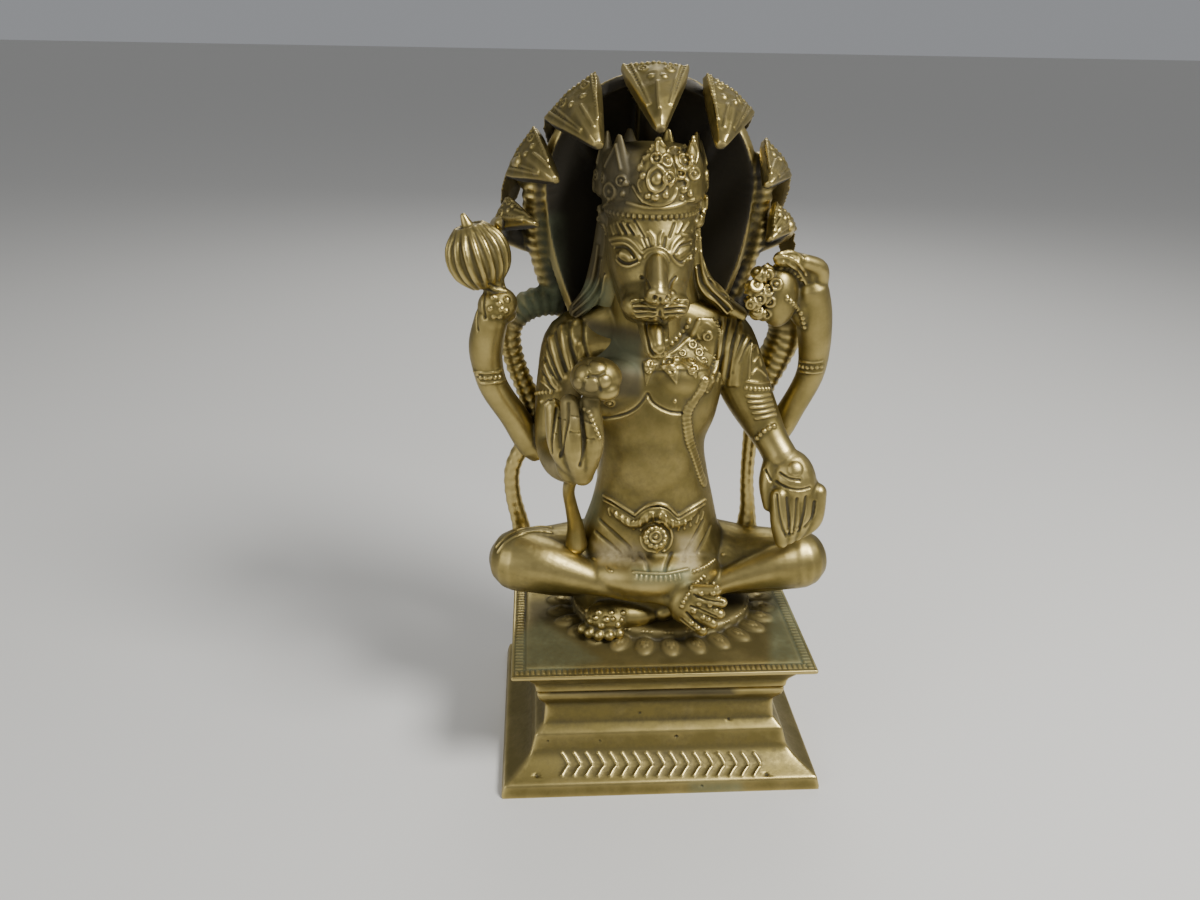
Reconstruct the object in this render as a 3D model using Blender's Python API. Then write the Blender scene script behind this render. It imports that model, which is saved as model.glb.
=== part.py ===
"""A small brass statue of a lion-faced deity under a seven-headed serpent hood.

Two castings: the figure, which is one with its square seat, and the stepped pedestal that
it stands on. The origin is the middle of the pedestal's underside, +Z is up and the front
faces -Y. Lengths are in metres.
"""
import math

import bmesh
import bpy
from mathutils import Matrix, Vector

MM = 0.001

# Pedestal, from the floor up. An inset is how far a step goes in from the one below it.
BASE_WIDTH = 139 * MM
BASE_DEPTH = 109 * MM
LIP_HEIGHT = 5.5 * MM
LIP_INSET = 1.4 * MM
FLARE_HEIGHT = 9.5 * MM
FLARE_INSET = 12 * MM
FASCIA_HEIGHT = 6.4 * MM
FASCIA_INSET = 1.7 * MM
CHAMFER_HEIGHT = 3.6 * MM
CHAMFER_INSET = 3.7 * MM
DADO_HEIGHT = 9.2 * MM
DADO_INSET = 0.7 * MM
CORNICE_HEIGHT = 4.7 * MM
CORNICE_REACH = 3.1 * MM
CORNICE_EDGE = 3.8 * MM
CORNICE_DRAFT = 0.7 * MM

# Seat: a neck on the pedestal's cornice, a sloping underside and a thin square slab.
JOINT_GAP = 0.3 * MM
NECK_HEIGHT = 4.6 * MM
NECK_REACH = 0.8 * MM
SPREAD_HEIGHT = 9.4 * MM
SPREAD_REACH = 9.7 * MM
SLAB_RIM = 2.0 * MM
CUSHION_HEIGHT = 4.4 * MM
CUSHION_WIDTH = 82 * MM
CUSHION_DEPTH = 58 * MM
PETAL_LENGTH = 13 * MM
PETAL_HEIGHT = 2.4 * MM
PETALS = 26

# Inscription band: plain strokes standing on the flare of the pedestal's front.
BAND_WIDTH = 84 * MM
STROKES = 15
STROKE_WIDTH = 1.6 * MM
STROKE_RELIEF = 0.8 * MM

# The figure, from the seat's top to the top of the serpent hood. Its forms are drawn on a
# grid of 234 steps to this height, and are shares of it.
FIGURE_HEIGHT = 234 * MM
GRID_STEPS = 234
VOXEL_STEPS = 1.1
FIGURE_TRIANGLES = 8100

# How many of each repeated ornament the figure carries.
CROWN_LEAVES = 7
CROWN_BEADS = 14
BUD_RIBS = 11
FLOWER_PETALS = 9

BASE_HALF = BASE_WIDTH / 2
DEPTH_DIFFERENCE = (BASE_WIDTH - BASE_DEPTH) / 2
FLARE_TOP = LIP_HEIGHT + FLARE_HEIGHT
PEDESTAL_TOP = (FLARE_TOP + FASCIA_HEIGHT + CHAMFER_HEIGHT + DADO_HEIGHT
                + CORNICE_HEIGHT + CORNICE_EDGE)
NECK_HALF = (BASE_HALF - LIP_INSET - FLARE_INSET - FASCIA_INSET - CHAMFER_INSET - DADO_INSET
             + CORNICE_REACH + CORNICE_DRAFT)
SEAT_BOTTOM = PEDESTAL_TOP + JOINT_GAP
SEAT_TOP = SEAT_BOTTOM + NECK_HEIGHT + SPREAD_HEIGHT + SLAB_RIM
STEP = FIGURE_HEIGHT / GRID_STEPS

BRASS = (0.36, 0.27, 0.11, 1.0)
DARK_BRASS = (0.30, 0.23, 0.10, 1.0)


def clear_scene():
    for item in list(bpy.data.objects):
        bpy.data.objects.remove(item, do_unlink=True)


def brass(name, colour):
    material = bpy.data.materials.new(name)
    material.use_nodes = True
    shader = material.node_tree.nodes["Principled BSDF"]
    shader.inputs["Base Color"].default_value = colour
    shader.inputs["Metallic"].default_value = 1.0
    shader.inputs["Roughness"].default_value = 0.42
    return material


def new_object(name, mesh_data, material=None):
    item = bpy.data.objects.new(name, mesh_data)
    bpy.context.scene.collection.objects.link(item)
    if material:
        mesh_data.materials.append(material)
    return item


def to_mesh(name, bm):
    bmesh.ops.recalc_face_normals(bm, faces=bm.faces)
    mesh_data = bpy.data.meshes.new(name)
    bm.to_mesh(mesh_data)
    bm.free()
    return mesh_data


def merge(form, piece):
    """Add a closed piece to a form; the two may overlap."""
    shell = to_mesh("shell", piece)
    form.from_mesh(shell)
    bpy.data.meshes.remove(shell)


def loft(frames, sides):
    """A closed body through rings of so many sides, one ring for each frame."""
    bm = bmesh.new()
    loops = []
    for frame in frames:
        ring = bmesh.ops.create_circle(bm, cap_ends=False, radius=1.0, segments=sides, matrix=frame)
        loops.append(list({edge for vert in ring["verts"] for edge in vert.link_edges}))
    for lower, upper in zip(loops, loops[1:]):
        bmesh.ops.bridge_loops(bm, edges=lower + upper)
    for end in (loops[0], loops[-1]):
        bmesh.ops.edgeloop_fill(bm, edges=end)
    return bm


def place(x, y, z):
    """A point of the figure's grid, counted from the middle of the seat's top."""
    return Vector((x * STEP, y * STEP, SEAT_TOP + z * STEP))


def smooth_path(points, spans):
    """Values on a smooth curve through the points, each a tuple of the same length."""
    ends = [points[0]] + list(points) + [points[-1]]
    path = []
    for index in range(1, len(ends) - 2):
        before, start, end, after = ends[index - 1:index + 3]
        for part in range(spans):
            t = part / spans
            path.append(tuple(
                0.5 * (2 * b + (c - a) * t + (2 * a - 5 * b + 4 * c - d) * t ** 2
                       + (3 * b - a - 3 * c + d) * t ** 3)
                for a, b, c, d in zip(before, start, end, after)))
    path.append(tuple(points[-1]))
    return path


def ball(form, centre, radii, turn=(0, 0, 0), detail=14):
    """An ellipsoid: centre and radii in grid steps, turned by degrees about X, Y and Z."""
    bm = bmesh.new()
    rotation = Matrix.LocRotScale(
        place(*centre),
        Matrix.Rotation(math.radians(turn[2]), 3, "Z")
        @ Matrix.Rotation(math.radians(turn[1]), 3, "Y")
        @ Matrix.Rotation(math.radians(turn[0]), 3, "X"),
        Vector(radii) * STEP)
    bmesh.ops.create_uvsphere(bm, u_segments=detail, v_segments=detail * 2 // 3, radius=1.0,
                              matrix=rotation)
    merge(form, bm)


def limb(form, points, flat=1.0, across=(1, 0, 0), sides=12, spans=4):
    """A round-ended limb through points of x, y, z and radius in grid steps.

    flat is the share of the radius that is left at right angles to the across direction.
    """
    path = smooth_path(points, spans)
    centres = [place(*point[:3]) for point in path]
    radii = [max(point[3], 0.3) * STEP for point in path]
    frames = []
    count = len(path)
    for index in range(count):
        along = (centres[min(index + 1, count - 1)] - centres[max(index - 1, 0)]).normalized()
        side = (Vector(across) - along * along.dot(Vector(across))).normalized()
        up = along.cross(side)
        if index == 0:
            caps = [(-0.95, 0.3), (-0.7, 0.71), (-0.35, 0.94), (0.0, 1.0)]
        elif index == count - 1:
            caps = [(0.0, 1.0), (0.35, 0.94), (0.7, 0.71), (0.95, 0.3)]
        else:
            caps = [(0.0, 1.0)]
        for shift, share in caps:
            radius = radii[index]
            frames.append(
                Matrix.Translation(centres[index] + along * shift * radius * flat)
                @ Matrix((side, up, along)).transposed().to_4x4()
                @ Matrix.Diagonal((radius * share, radius * share * flat, 1.0, 1.0)))
    merge(form, loft(frames, sides))


def trunk(form, levels, sides=20, spans=3):
    """An upright body through ellipses of z, centre x, centre y, half width, half depth."""
    frames = []
    for z, x, y, half_width, half_depth in smooth_path(levels, spans):
        frames.append(Matrix.Translation(place(x, y, z))
                      @ Matrix.Diagonal((half_width * STEP, half_depth * STEP, 1.0, 1.0)))
    merge(form, loft(frames, sides))


def torso(form):
    trunk(form, [(1, -2, 6, 34, 22), (18, -2, 7, 37, 25), (32, -2, 6, 34, 23),
                 (44, -2.5, 3, 30, 20), (57, -2.5, 0, 26.5, 17.5), (72, -3.2, -2, 23.4, 16.5),
                 (86, -4, -3, 22, 16), (98, -3.6, -3, 25.4, 16.5), (113, -4.8, -1, 29.5, 16),
                 (123, -5.5, 2, 31, 15), (131, -6.5, 4, 30, 12.5), (139, -7.5, 3, 24, 10.5)])
    trunk(form, [(124, -7, 0, 16, 12), (140, -8.5, -2, 15, 13), (158, -9.5, -6, 14, 13)])
    for side_x in (-21.5, 4.5):
        ball(form, (side_x, -10.5, 114), (14.6, 9.5, 10.5), (14, 0, 0))
    ball(form, (-4, -9, 80), (18, 11, 24))
    ball(form, (-3, -6, 26), (31, 22, 13), (-8, 0, 0))


def legs(form):
    limb(form, [(-20, 12, 22, 19), (-42, 5, 24, 16.5), (-55, -2, 28, 14.4), (-60, -4, 29.5, 13.8)])
    limb(form, [(16, 12, 22, 19), (40, 5, 23, 16), (58, -2, 26.5, 13.8), (63, -4, 27.7, 13.4)])
    limb(form, [(-60.5, -4, 29.5, 14), (-50, -8, 29, 12.2), (-37, -12, 26.5, 8.8),
                (-24, -16, 23.6, 5.8), (-13, -19.5, 21.2, 4.1), (-2, -22, 20.4, 3.4),
                (5, -24, 19.6, 3.6)])
    limb(form, [(63.5, -4, 27.7, 13.4), (54, -7, 27, 11), (40.5, -10, 24.3, 7.6),
                (26, -12, 20, 5), (14, -14, 14, 4.2), (2, -15, 8, 4)])


def feet(form):
    ball(form, (11.5, -26, 19), (9, 5.5, 9.5), (0, 12, 8))
    toes = [(14, 27.4, 22.2, 28.6), (14, 24, 25, 22.6), (13.4, 20.4, 24.4, 16.8),
            (12, 17.2, 21.6, 12), (9.6, 14.4, 17.4, 8.4)]
    for start_x, start_z, end_x, end_z in toes:
        limb(form, [(start_x, -28.5, start_z, 3), (end_x, -31, end_z, 2.6)], sides=8)
    ball(form, (-14, -15, 8), (15, 7.5, 6.5), (0, 6, 4))
    ball(form, (-22, -17, 7.6), (11, 8.5, 6.2), (0, 8, 14))
    for index in range(5):
        turn = math.radians(205 + 24 * index)
        root = (-23.5, -16.5, 6)
        tip = (root[0] + 11 * math.cos(turn), root[1] + 9.5 * math.sin(turn), 3.6)
        limb(form, [(*root, 3), (*tip, 2.5)], sides=8)


def arms(form):
    limb(form, [(-28, 3, 129, 11.5), (-37.5, 3, 127, 12), (-42, 1, 113, 10.4),
                (-44.5, -1, 99, 9), (-45, -5, 86, 8.4), (-44, -16, 83, 7.2),
                (-41, -28, 85, 6.4), (-38, -37, 90, 6.4)])
    limb(form, [(18, 3, 129, 11.5), (25, 4, 128, 11.8), (30.5, 3, 117, 11.4), (36, 2, 105, 10.4),
                (42, 1, 94, 8.8), (46.5, -4, 86, 7.2), (50, -8, 80, 7.2)])
    limb(form, [(-30, 9, 122, 9), (-40, 9, 108, 8.4), (-48, 8, 90, 7.6), (-53, 5, 80, 7),
                (-62.5, 2, 95.5, 6), (-70, -1, 109, 6), (-72.5, -3, 120, 6.4),
                (-72.5, -5, 129, 7), (-70, -8, 140, 6.6)])
    limb(form, [(20, 9, 122, 9), (34, 9, 106, 8.4), (46, 9, 90, 7), (51.5, 9, 85, 6.4),
                (57.5, 7, 97, 5.6), (62.5, 4, 112, 5.8), (62, 0, 126, 6.6),
                (59.5, -3, 140, 7.4), (57, -5, 150, 7)])


def raised_hand(form):
    """The front right hand, held up with a fruit on its fingertips."""
    ball(form, (-38, -40, 95), (8, 6.5, 12), (0, 8, 0))
    fingers = [(-46.5, -40, 115, -44, -43, 99, 4.2), (-40.5, -45, 118, -38.5, -47, 101, 4.6),
               (-33, -45, 119, -32, -47, 103, 4.4)]
    for tip_x, tip_y, tip_z, mid_x, mid_y, mid_z, radius in fingers:
        limb(form, [(tip_x, tip_y, tip_z, radius * 0.8), (mid_x, mid_y, mid_z, radius),
                    (-35.5, -42, 88, radius)], sides=8)
    ball(form, (-31, -45, 128), (9.6, 8, 7.6))
    ball(form, (-27.5, -48, 124.5), (5, 5, 4.2))


def resting_hand(form):
    """The front left hand, hanging over the knee."""
    ball(form, (55, -12, 70), (10.5, 9, 14), (-14, -10, 0))
    ball(form, (57.5, -13, 63), (10.5, 8, 14), (-10, -4, 0))
    for index in range(4):
        share = index / 3
        limb(form, [(48.5 + 17 * share, -18 + 3 * share, 66, 4.2),
                    (49 + 15.5 * share, -21 + 3.4 * share, 55, 4),
                    (50.5 + 10 * share, -21 + 3 * share, 46 + 3.5 * share, 3)], sides=8)
    limb(form, [(47, -9, 78, 4.4), (44.5, -13, 70, 4), (45.5, -16, 61, 3.2)], sides=8)


def lotus_bud(form):
    """The upper right hand and the ribbed bud that it holds up."""
    ball(form, (-67.5, -9, 145.5), (8, 6.5, 7), (0, -20, 0))
    limb(form, [(-64, -8, 142, 4), (-68, -8, 150, 4.4), (-69.5, -7, 156, 4.6)], sides=10)
    ball(form, (-74.5, -6, 164), (11.4, 11.4, 12), (0, -16, 0))
    for index in range(BUD_RIBS):
        around = 2 * math.pi * index / BUD_RIBS
        points = []
        for level in (-60, -30, 0, 30, 62):
            climb = math.radians(level)
            out = 11.4 * math.cos(climb)
            point = Matrix.Rotation(math.radians(-16), 3, "Y") @ Vector(
                (out * math.cos(around), out * math.sin(around), 12.4 * math.sin(climb)))
            points.append((-74.5 + point.x, -6 + point.y, 164 + point.z, 1.6))
        limb(form, points, sides=6, spans=2)
    limb(form, [(-77.6, -6, 174, 3), (-79.6, -6, 179, 1.3)], sides=8)


def discus(form):
    """The upper left hand, bent over the petalled disc that it holds."""
    ball(form, (56, -4, 146), (8.6, 6.5, 12), (0, -8, 0))
    for index in range(4):
        share = index / 3
        limb(form, [(59.5 - 8 * share, -5, 152 + 3 * share, 3.8),
                    (58 - 10 * share, -9, 160 + 3 * share, 3.6),
                    (51 - 9.5 * share, -12, 163.5 + share, 3)], sides=8)
    ball(form, (43, -8, 149), (7.5, 9, 12.5), (0, 0, -38))
    for index in range(FLOWER_PETALS):
        around = 2 * math.pi * index / FLOWER_PETALS
        ball(form, (36 + 4.8 * math.cos(around), -12 + 3.4 * math.cos(around),
                    151 + 8.6 * math.sin(around)), (3.2, 3, 3), detail=8)
    ball(form, (35, -14, 151), (4, 3.4, 4), detail=8)


def head(form):
    trunk(form, [(142, -9, -14, 9.4, 12), (148, -9, -15, 12, 16), (156, -9, -14, 14.6, 18.5),
                 (166, -9, -12, 16.8, 19.5), (176, -9.2, -10, 17, 20), (184, -9.4, -9, 16.8, 19.5),
                 (196, -9.6, -8, 16, 17), (204, -9.6, -7, 10, 11)])
    ball(form, (-9.4, -30.5, 154.8), (12.4, 13.5, 8.6), (10, 0, 0))
    limb(form, [(-9, -27, 171.5, 4.6), (-9.2, -35, 166, 4), (-9.6, -43, 159.5, 4.4)], sides=10)
    ball(form, (-9.7, -44.5, 157.4), (5, 3.6, 2.8))
    for side in (-1, 1):
        ball(form, (-9.4 + side * 6.4, -37.4, 152.8), (6.4, 6.8, 5), (0, side * -12, 0))
        limb(form, [(-9 + side * 3.6, -30, 173.4, 1.9), (-9 + side * 9.6, -28.6, 176.6, 2.2),
                    (-9 + side * 15.4, -22.4, 176, 2)], sides=8)
        ball(form, (-9 + side * 10.6, -26.6, 168.6), (4.2, 3.4, 2.9))
    limb(form, [(-9.3, -24, 146, 6.2), (-8.8, -34, 141, 5.6), (-8.4, -39, 136, 4.4)], flat=0.7)
    limb(form, [(-8.8, -37, 143, 3), (-8.6, -41, 139, 2.6)], sides=8)
    limb(form, [(-25, -12, 178, 3.6), (-28.4, -12.5, 183.4, 1.3)], sides=8)
    limb(form, [(7.6, -12, 179, 3.6), (10.8, -12.5, 187.4, 1.3)], sides=8)


def crown(form):
    """A flared cap with a bead band, pointed leaves round its rim and a front rosette."""
    trunk(form, [(181, -9.4, -10.5, 17.2, 18.8), (184.5, -9.4, -10.5, 18.2, 19.6),
                 (190, -9.2, -10, 18.4, 19.2), (198, -9, -9, 19.2, 19), (203, -9, -8.5, 18, 17.6),
                 (206, -9, -8, 11, 11)])
    for index in range(CROWN_LEAVES):
        around = 2 * math.pi * index / CROWN_LEAVES - math.pi / 2
        root_x = -9.2 + 17 * math.cos(around)
        root_y = -9.4 + 17 * math.sin(around)
        limb(form, [(root_x, root_y, 190, 7), (root_x, root_y, 199, 5.6),
                    (root_x, root_y, 209.6, 1.3)], flat=0.6,
             across=(-math.sin(around), math.cos(around), 0), sides=8)
    ball(form, (-10, -28, 193.5), (5.4, 3, 5.4))
    for index in range(CROWN_BEADS):
        around = math.radians(-158 + 136 * index / (CROWN_BEADS - 1))
        ball(form, (-9.4 + 18.8 * math.cos(around), -10.5 + 20 * math.sin(around), 183.4),
             (1.7, 1.7, 1.7), detail=6)


def hair(form):
    """Locks that part at the ears and spread over the shoulders."""
    for index in range(3):
        drop = index * 3.2
        limb(form, [(-25 + drop, -4 + drop, 180, 3.6), (-27.5 + drop, -3 + drop, 162, 3.8),
                    (-30.5 + drop, -2 + drop, 149, 4), (-36 + drop, 0 + drop, 141, 3.6)], sides=8)
        limb(form, [(6 - drop, -4 + drop, 180, 3.6), (9 - drop, -4 + drop, 164, 3.6),
                    (14 - drop, -3 + drop, 153, 3.8), (23 - drop, -1 + drop, 144, 3.6),
                    (30 - drop, 1 + drop, 139, 3.2)], sides=8)
    trunk(form, [(134, -7, 10, 24, 8), (150, -8.5, 6, 19, 9), (172, -9.5, 4, 17, 12),
                 (188, -9.8, 2, 15, 12)])


def robe(form):
    """Cloth over the shoulders, the collar, the cord, the belt and its medallion."""
    for index in range(4):
        limb(form, [(24 + 3 * index, -4 + index, 138 - 2 * index, 1.6),
                    (25 + 3.6 * index, -7.4 + index, 124, 1.7),
                    (29 + 3.6 * index, -7 + index, 108, 1.5)], sides=6)
        limb(form, [(-31 - 3.4 * index, -5 + 1.6 * index, 136, 1.6),
                    (-36 - 2.6 * index, -8.6 + 1.6 * index, 122 - 2 * index, 1.7),
                    (-42 - 2 * index, -8 + 1.6 * index, 110 - 2 * index, 1.5)], sides=6)
    limb(form, [(17, -10, 138, 2), (13, -18.5, 124, 2.2), (6, -22, 115, 2.4),
                (-6, -22.6, 112, 2.4), (-17, -20.5, 117, 2.2)], flat=0.7, sides=8)
    limb(form, [(19, -7, 137, 1.6), (17.5, -14, 122, 1.6), (12, -20.5, 110, 1.5),
                (8.5, -20, 96, 1.5), (11.5, -17.5, 82, 1.4), (14.5, -15, 70, 1.4)], sides=6)
    limb(form, [(-28.5, -3, 63, 2), (-20, -13, 58.5, 2.2), (-12, -17.4, 54, 2.3),
                (-3.6, -18.6, 60.5, 2.3), (5, -17.4, 54, 2.3), (14, -13, 58.5, 2.2),
                (22.5, -3, 63, 2)], sides=8)
    ball(form, (-4, -20.5, 47.6), (6.4, 3, 6.4), (-10, 0, 0))
    limb(form, [(-34, -9, 36, 1.6), (-18, -19, 29.5, 1.6), (-3, -24, 26.5, 1.6),
                (11, -21, 28.5, 1.6), (26, -13, 34, 1.6)], sides=6)


def serpent_path(left):
    """The serpent's body from the hood's rim, out behind the hand and down to the lap."""
    if left:
        return [(-36, 20, 139, 7), (-48, 16, 141, 6.4), (-58, 14, 138, 6), (-63.5, 12, 130, 5),
                (-62, 12, 117, 4.4), (-56.5, 11, 102, 4.4), (-53, 10, 90, 4.6),
                (-58.5, 10, 79, 3.8), (-63.5, 11, 67, 3.6), (-63.5, 11, 54, 3.6),
                (-60.5, 11, 40, 4), (-59, 10, 30, 5)]
    return [(30, 20, 139, 7), (42, 17, 141, 6.4), (50, 15, 138, 7), (53, 14, 128, 7.4),
            (49, 14, 116, 7), (44, 13, 103, 5.8), (42.5, 13, 90, 4.4), (41.5, 13, 76, 3.4),
            (41.5, 13, 60, 3.2), (43, 13, 44, 3.8), (43, 12, 30, 6)]


def cobra_head(form, inner, outer, tip):
    """One hood head: a shield between its two rear corners that narrows to a snout."""
    start, end = (Vector(inner) + Vector(outer)) / 2, Vector(tip)
    along = (end - start).normalized()
    across = Vector(inner) - Vector(outer)
    half_width = across.length / 2 + 0.6
    across = (across - along * across.dot(along)).normalized()
    stations = [(-0.4, 0.45, 0.9), (-0.16, 0.85, 0.9), (0.0, 1.0, 0.62), (0.2, 0.88, 0.9),
                (0.45, 0.64, 1.05), (0.7, 0.4, 1.0), (0.9, 0.22, 0.8), (1.0, 0.12, 0.45)]
    thickness = 0.16 * half_width + 2.4
    frames = []
    for share, wide, thick in stations:
        nape = Vector((0, 0, 52 * min(share, 0)))
        frames.append(
            Matrix.Translation(place(*(start + (end - start) * share + nape)))
            @ Matrix((across, along.cross(across), along)).transposed().to_4x4()
            @ Matrix.Diagonal((half_width * wide * STEP, thickness * thick * STEP, 1, 1)))
    merge(form, loft(frames, 6))


# The hood's seven heads from the middle outwards: inner and outer rear corner, then snout.
HEADS = [((-22.3, 2, 231.6), (6, 2, 231.6), (-8.6, -26, 212.5)),
         ((-28.6, 2, 230.4), (-49.4, 4, 212), (-30, -25, 206.8)),
         ((9.4, 2, 230.4), (31, 4, 215), (13.2, -25, 207.2)),
         ((-51.6, 6, 211), (-63.6, 5, 191), (-45, -19, 194)),
         ((34.6, 6, 207.4), (47, 5, 192), (32.6, -19, 193)),
         ((-62, 6, 184.4), (-69.4, 5, 172), (-52, -13, 177.2)),
         ((41, 6, 183.4), (51.4, 5, 172), (36.8, -11, 171.4))]


# The hood's arch, in grid steps: where it stands, its reach and how far it hollows backwards.
HOOD_MIDDLE = -8.2
HOOD_HALF_WIDTH = 43
HOOD_FOOT = 126
HOOD_SPRING = 188
HOOD_FRONT = 6
HOOD_HOLLOW = 19
HOOD_WALL = 5
NECKS_MEET = Vector((-6, 27, 132))


def hood_shell(form):
    """A wall that rises straight to its spring line, closes in a half circle and bows back."""
    bm = bmesh.new()
    bmesh.ops.create_grid(bm, x_segments=16, y_segments=16, size=1.0)
    for vert in bm.verts:
        across, rise = vert.co.x, (vert.co.y + 1) / 2
        if rise < 0.5:
            level = HOOD_FOOT + (HOOD_SPRING - HOOD_FOOT) * rise * 2
            reach = HOOD_HALF_WIDTH * (0.62 + 0.38 * math.sin(math.pi * rise))
        else:
            turn = (rise - 0.5) * math.pi * 0.94
            level = HOOD_SPRING + HOOD_HALF_WIDTH * math.sin(turn)
            reach = HOOD_HALF_WIDTH * math.cos(turn)
        hollow = HOOD_HOLLOW * math.cos(across * math.pi / 2) * (0.35 + 0.65 * reach / HOOD_HALF_WIDTH)
        vert.co = place(HOOD_MIDDLE + across * reach, HOOD_FRONT + hollow, level)
    bmesh.ops.recalc_face_normals(bm, faces=bm.faces)
    bmesh.ops.solidify(bm, geom=bm.faces, thickness=-HOOD_WALL * STEP)
    merge(form, bm)


def canopy(form):
    """The hood: a hollowed arch, seven cobra heads and their necks, and the serpent's body."""
    hood_shell(form)
    for inner, outer, tip in HEADS:
        cobra_head(form, inner, outer, tip)
        start = (Vector(inner) + Vector(outer)) / 2 + Vector((0, 6, -7))
        half = (Vector(inner) - Vector(outer)).length / 2
        middle = start.lerp(NECKS_MEET, 0.45) + Vector((0, 13 - half / 3, 4))
        limb(form, [(*start, 5), (*start.lerp(middle, 0.35), 5.6), (*middle, 5), (*NECKS_MEET, 4)],
             sides=10)
    for side in (-1, 1):
        limb(form, [(HOOD_MIDDLE + side * 43, 8, 196, 6), (HOOD_MIDDLE + side * 43, 10, 180, 6.4),
                    (HOOD_MIDDLE + side * 41, 13, 164, 6.4), (HOOD_MIDDLE + side * 37, 16, 150, 6.6),
                    (HOOD_MIDDLE + side * 30, 20, 139, 7)])
    limb(form, serpent_path(True))
    limb(form, serpent_path(False))
    limb(form, [(-38, -30, 84, 3), (-40, -22, 72, 2.6), (-38.5, -14, 60, 2.8),
                (-36.5, -8, 48, 3.6), (-36, -6, 38, 5)], sides=10)
    trunk(form, [(20, -4, 22, 26, 10), (60, -4, 18, 22, 8), (100, -5, 16, 25, 9),
                 (130, -7, 18, 26, 10), (146, -8, 20, 20, 8)])


def figure_body():
    form = bmesh.new()
    for build in (torso, legs, feet, arms, raised_hand, resting_hand, lotus_bud, discus, head,
                  crown, hair, robe, canopy):
        build(form)
    return form


def stepped_rings(levels):
    """Frames of four-sided rings for half widths and heights; the depth follows the width."""
    diagonal = math.sqrt(2)
    frames = []
    for half_width, height in levels:
        frames.append(Matrix.Translation((0, 0, height))
                      @ Matrix.Diagonal((half_width * diagonal,
                                         (half_width - DEPTH_DIFFERENCE) * diagonal, 1, 1))
                      @ Matrix.Rotation(math.pi / 4, 4, "Z"))
    return frames


def flare_inset(share):
    """How far the hollow flare has gone in at a share of its height."""
    return FLARE_INSET * (1 - (1 - share) ** 1.7)


def pedestal():
    half, height = BASE_HALF, 0.0
    levels = [(half, height)]
    half, height = half - LIP_INSET, LIP_HEIGHT
    for index in range(5):
        share = index / 4
        levels.append((half - flare_inset(share), height + FLARE_HEIGHT * share))
    half, height = levels[-1]
    for reach, rise in ((-FASCIA_INSET, FASCIA_HEIGHT), (-CHAMFER_INSET, CHAMFER_HEIGHT),
                        (-DADO_INSET, DADO_HEIGHT), (CORNICE_REACH, CORNICE_HEIGHT),
                        (CORNICE_DRAFT, CORNICE_EDGE)):
        half, height = half + reach, height + rise
        levels.append((half, height))
    item = new_object("pedestal", to_mesh("pedestal", loft(stepped_rings(levels), 4)),
                      brass("pedestal brass", DARK_BRASS))
    marks = bmesh.new()
    pitch = BAND_WIDTH / STROKES
    for index in range(STROKES):
        low, high = (0.06, 0.86) if index % 3 else (0.06, 0.56)
        ends = []
        for share in (low, high):
            depth = BASE_HALF - DEPTH_DIFFERENCE - LIP_INSET - flare_inset(share)
            ends.append(Vector(((index - (STROKES - 1) / 2) * pitch, -depth,
                                LIP_HEIGHT + FLARE_HEIGHT * share)))
        along = ends[1] - ends[0]
        bar = bmesh.new()
        bmesh.ops.create_cube(bar, size=1.0, matrix=(
            Matrix.Translation((ends[0] + ends[1]) / 2)
            @ Vector((0, 0, 1)).rotation_difference(along).to_matrix().to_4x4()
            @ Matrix.Diagonal((STROKE_WIDTH, STROKE_RELIEF * 4, along.length, 1))))
        merge(marks, bar)
    cutter(item, "strokes", marks, "UNION")
    return item


def cutter(item, name, form, operation):
    guide = new_object(name, to_mesh(name, form))
    guide.hide_render = True
    guide.display_type = "WIRE"
    modifier = item.modifiers.new(name, "BOOLEAN")
    modifier.operation = operation
    modifier.object = guide
    modifier.solver = "EXACT"
    modifier.use_self = True


def seat():
    """The seat's slab, its round cushion and the ring of petals around it."""
    form = cushion()
    neck = NECK_HALF + NECK_REACH
    merge(form, loft(stepped_rings([
        (NECK_HALF, SEAT_BOTTOM), (neck, SEAT_BOTTOM + NECK_HEIGHT),
        (neck + SPREAD_REACH * 0.45, SEAT_BOTTOM + NECK_HEIGHT + SPREAD_HEIGHT * 0.7),
        (neck + SPREAD_REACH, SEAT_TOP - SLAB_RIM), (neck + SPREAD_REACH, SEAT_TOP)]), 4))
    return form


def cushion():
    form = bmesh.new()
    centre = Vector((4 * STEP, 4 * STEP, 0))
    frames = []
    for share, height in ((1.0, -1.0), (1.0, 0.45), (0.98, 0.6), (0.99, 0.75), (0.94, 1.0)):
        frames.append(Matrix.Translation(centre + Vector((0, 0, SEAT_TOP + CUSHION_HEIGHT * height)))
                      @ Matrix.Diagonal((CUSHION_WIDTH / 2 * share, CUSHION_DEPTH / 2 * share, 1, 1)))
    merge(form, loft(frames, 32))
    for index in range(PETALS):
        around = 2 * math.pi * (index + 0.5) / PETALS
        out = Vector((math.cos(around), math.sin(around), 0))
        root = centre + Vector((out.x * CUSHION_WIDTH / 2, out.y * CUSHION_DEPTH / 2, SEAT_TOP))
        petal = bmesh.new()
        half = math.pi * (CUSHION_WIDTH + CUSHION_DEPTH) / 4 / PETALS * 0.98
        bmesh.ops.create_uvsphere(petal, u_segments=6, v_segments=4, radius=1.0, matrix=(
            Matrix.Translation(root + out * PETAL_LENGTH * 0.42)
            @ Matrix.Rotation(around, 4, "Z")
            @ Matrix.Diagonal((PETAL_LENGTH / 2, half, PETAL_HEIGHT, 1))
            @ Matrix.Rotation(math.pi / 2, 4, "Y")))
        merge(form, petal)
    return form


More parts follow.
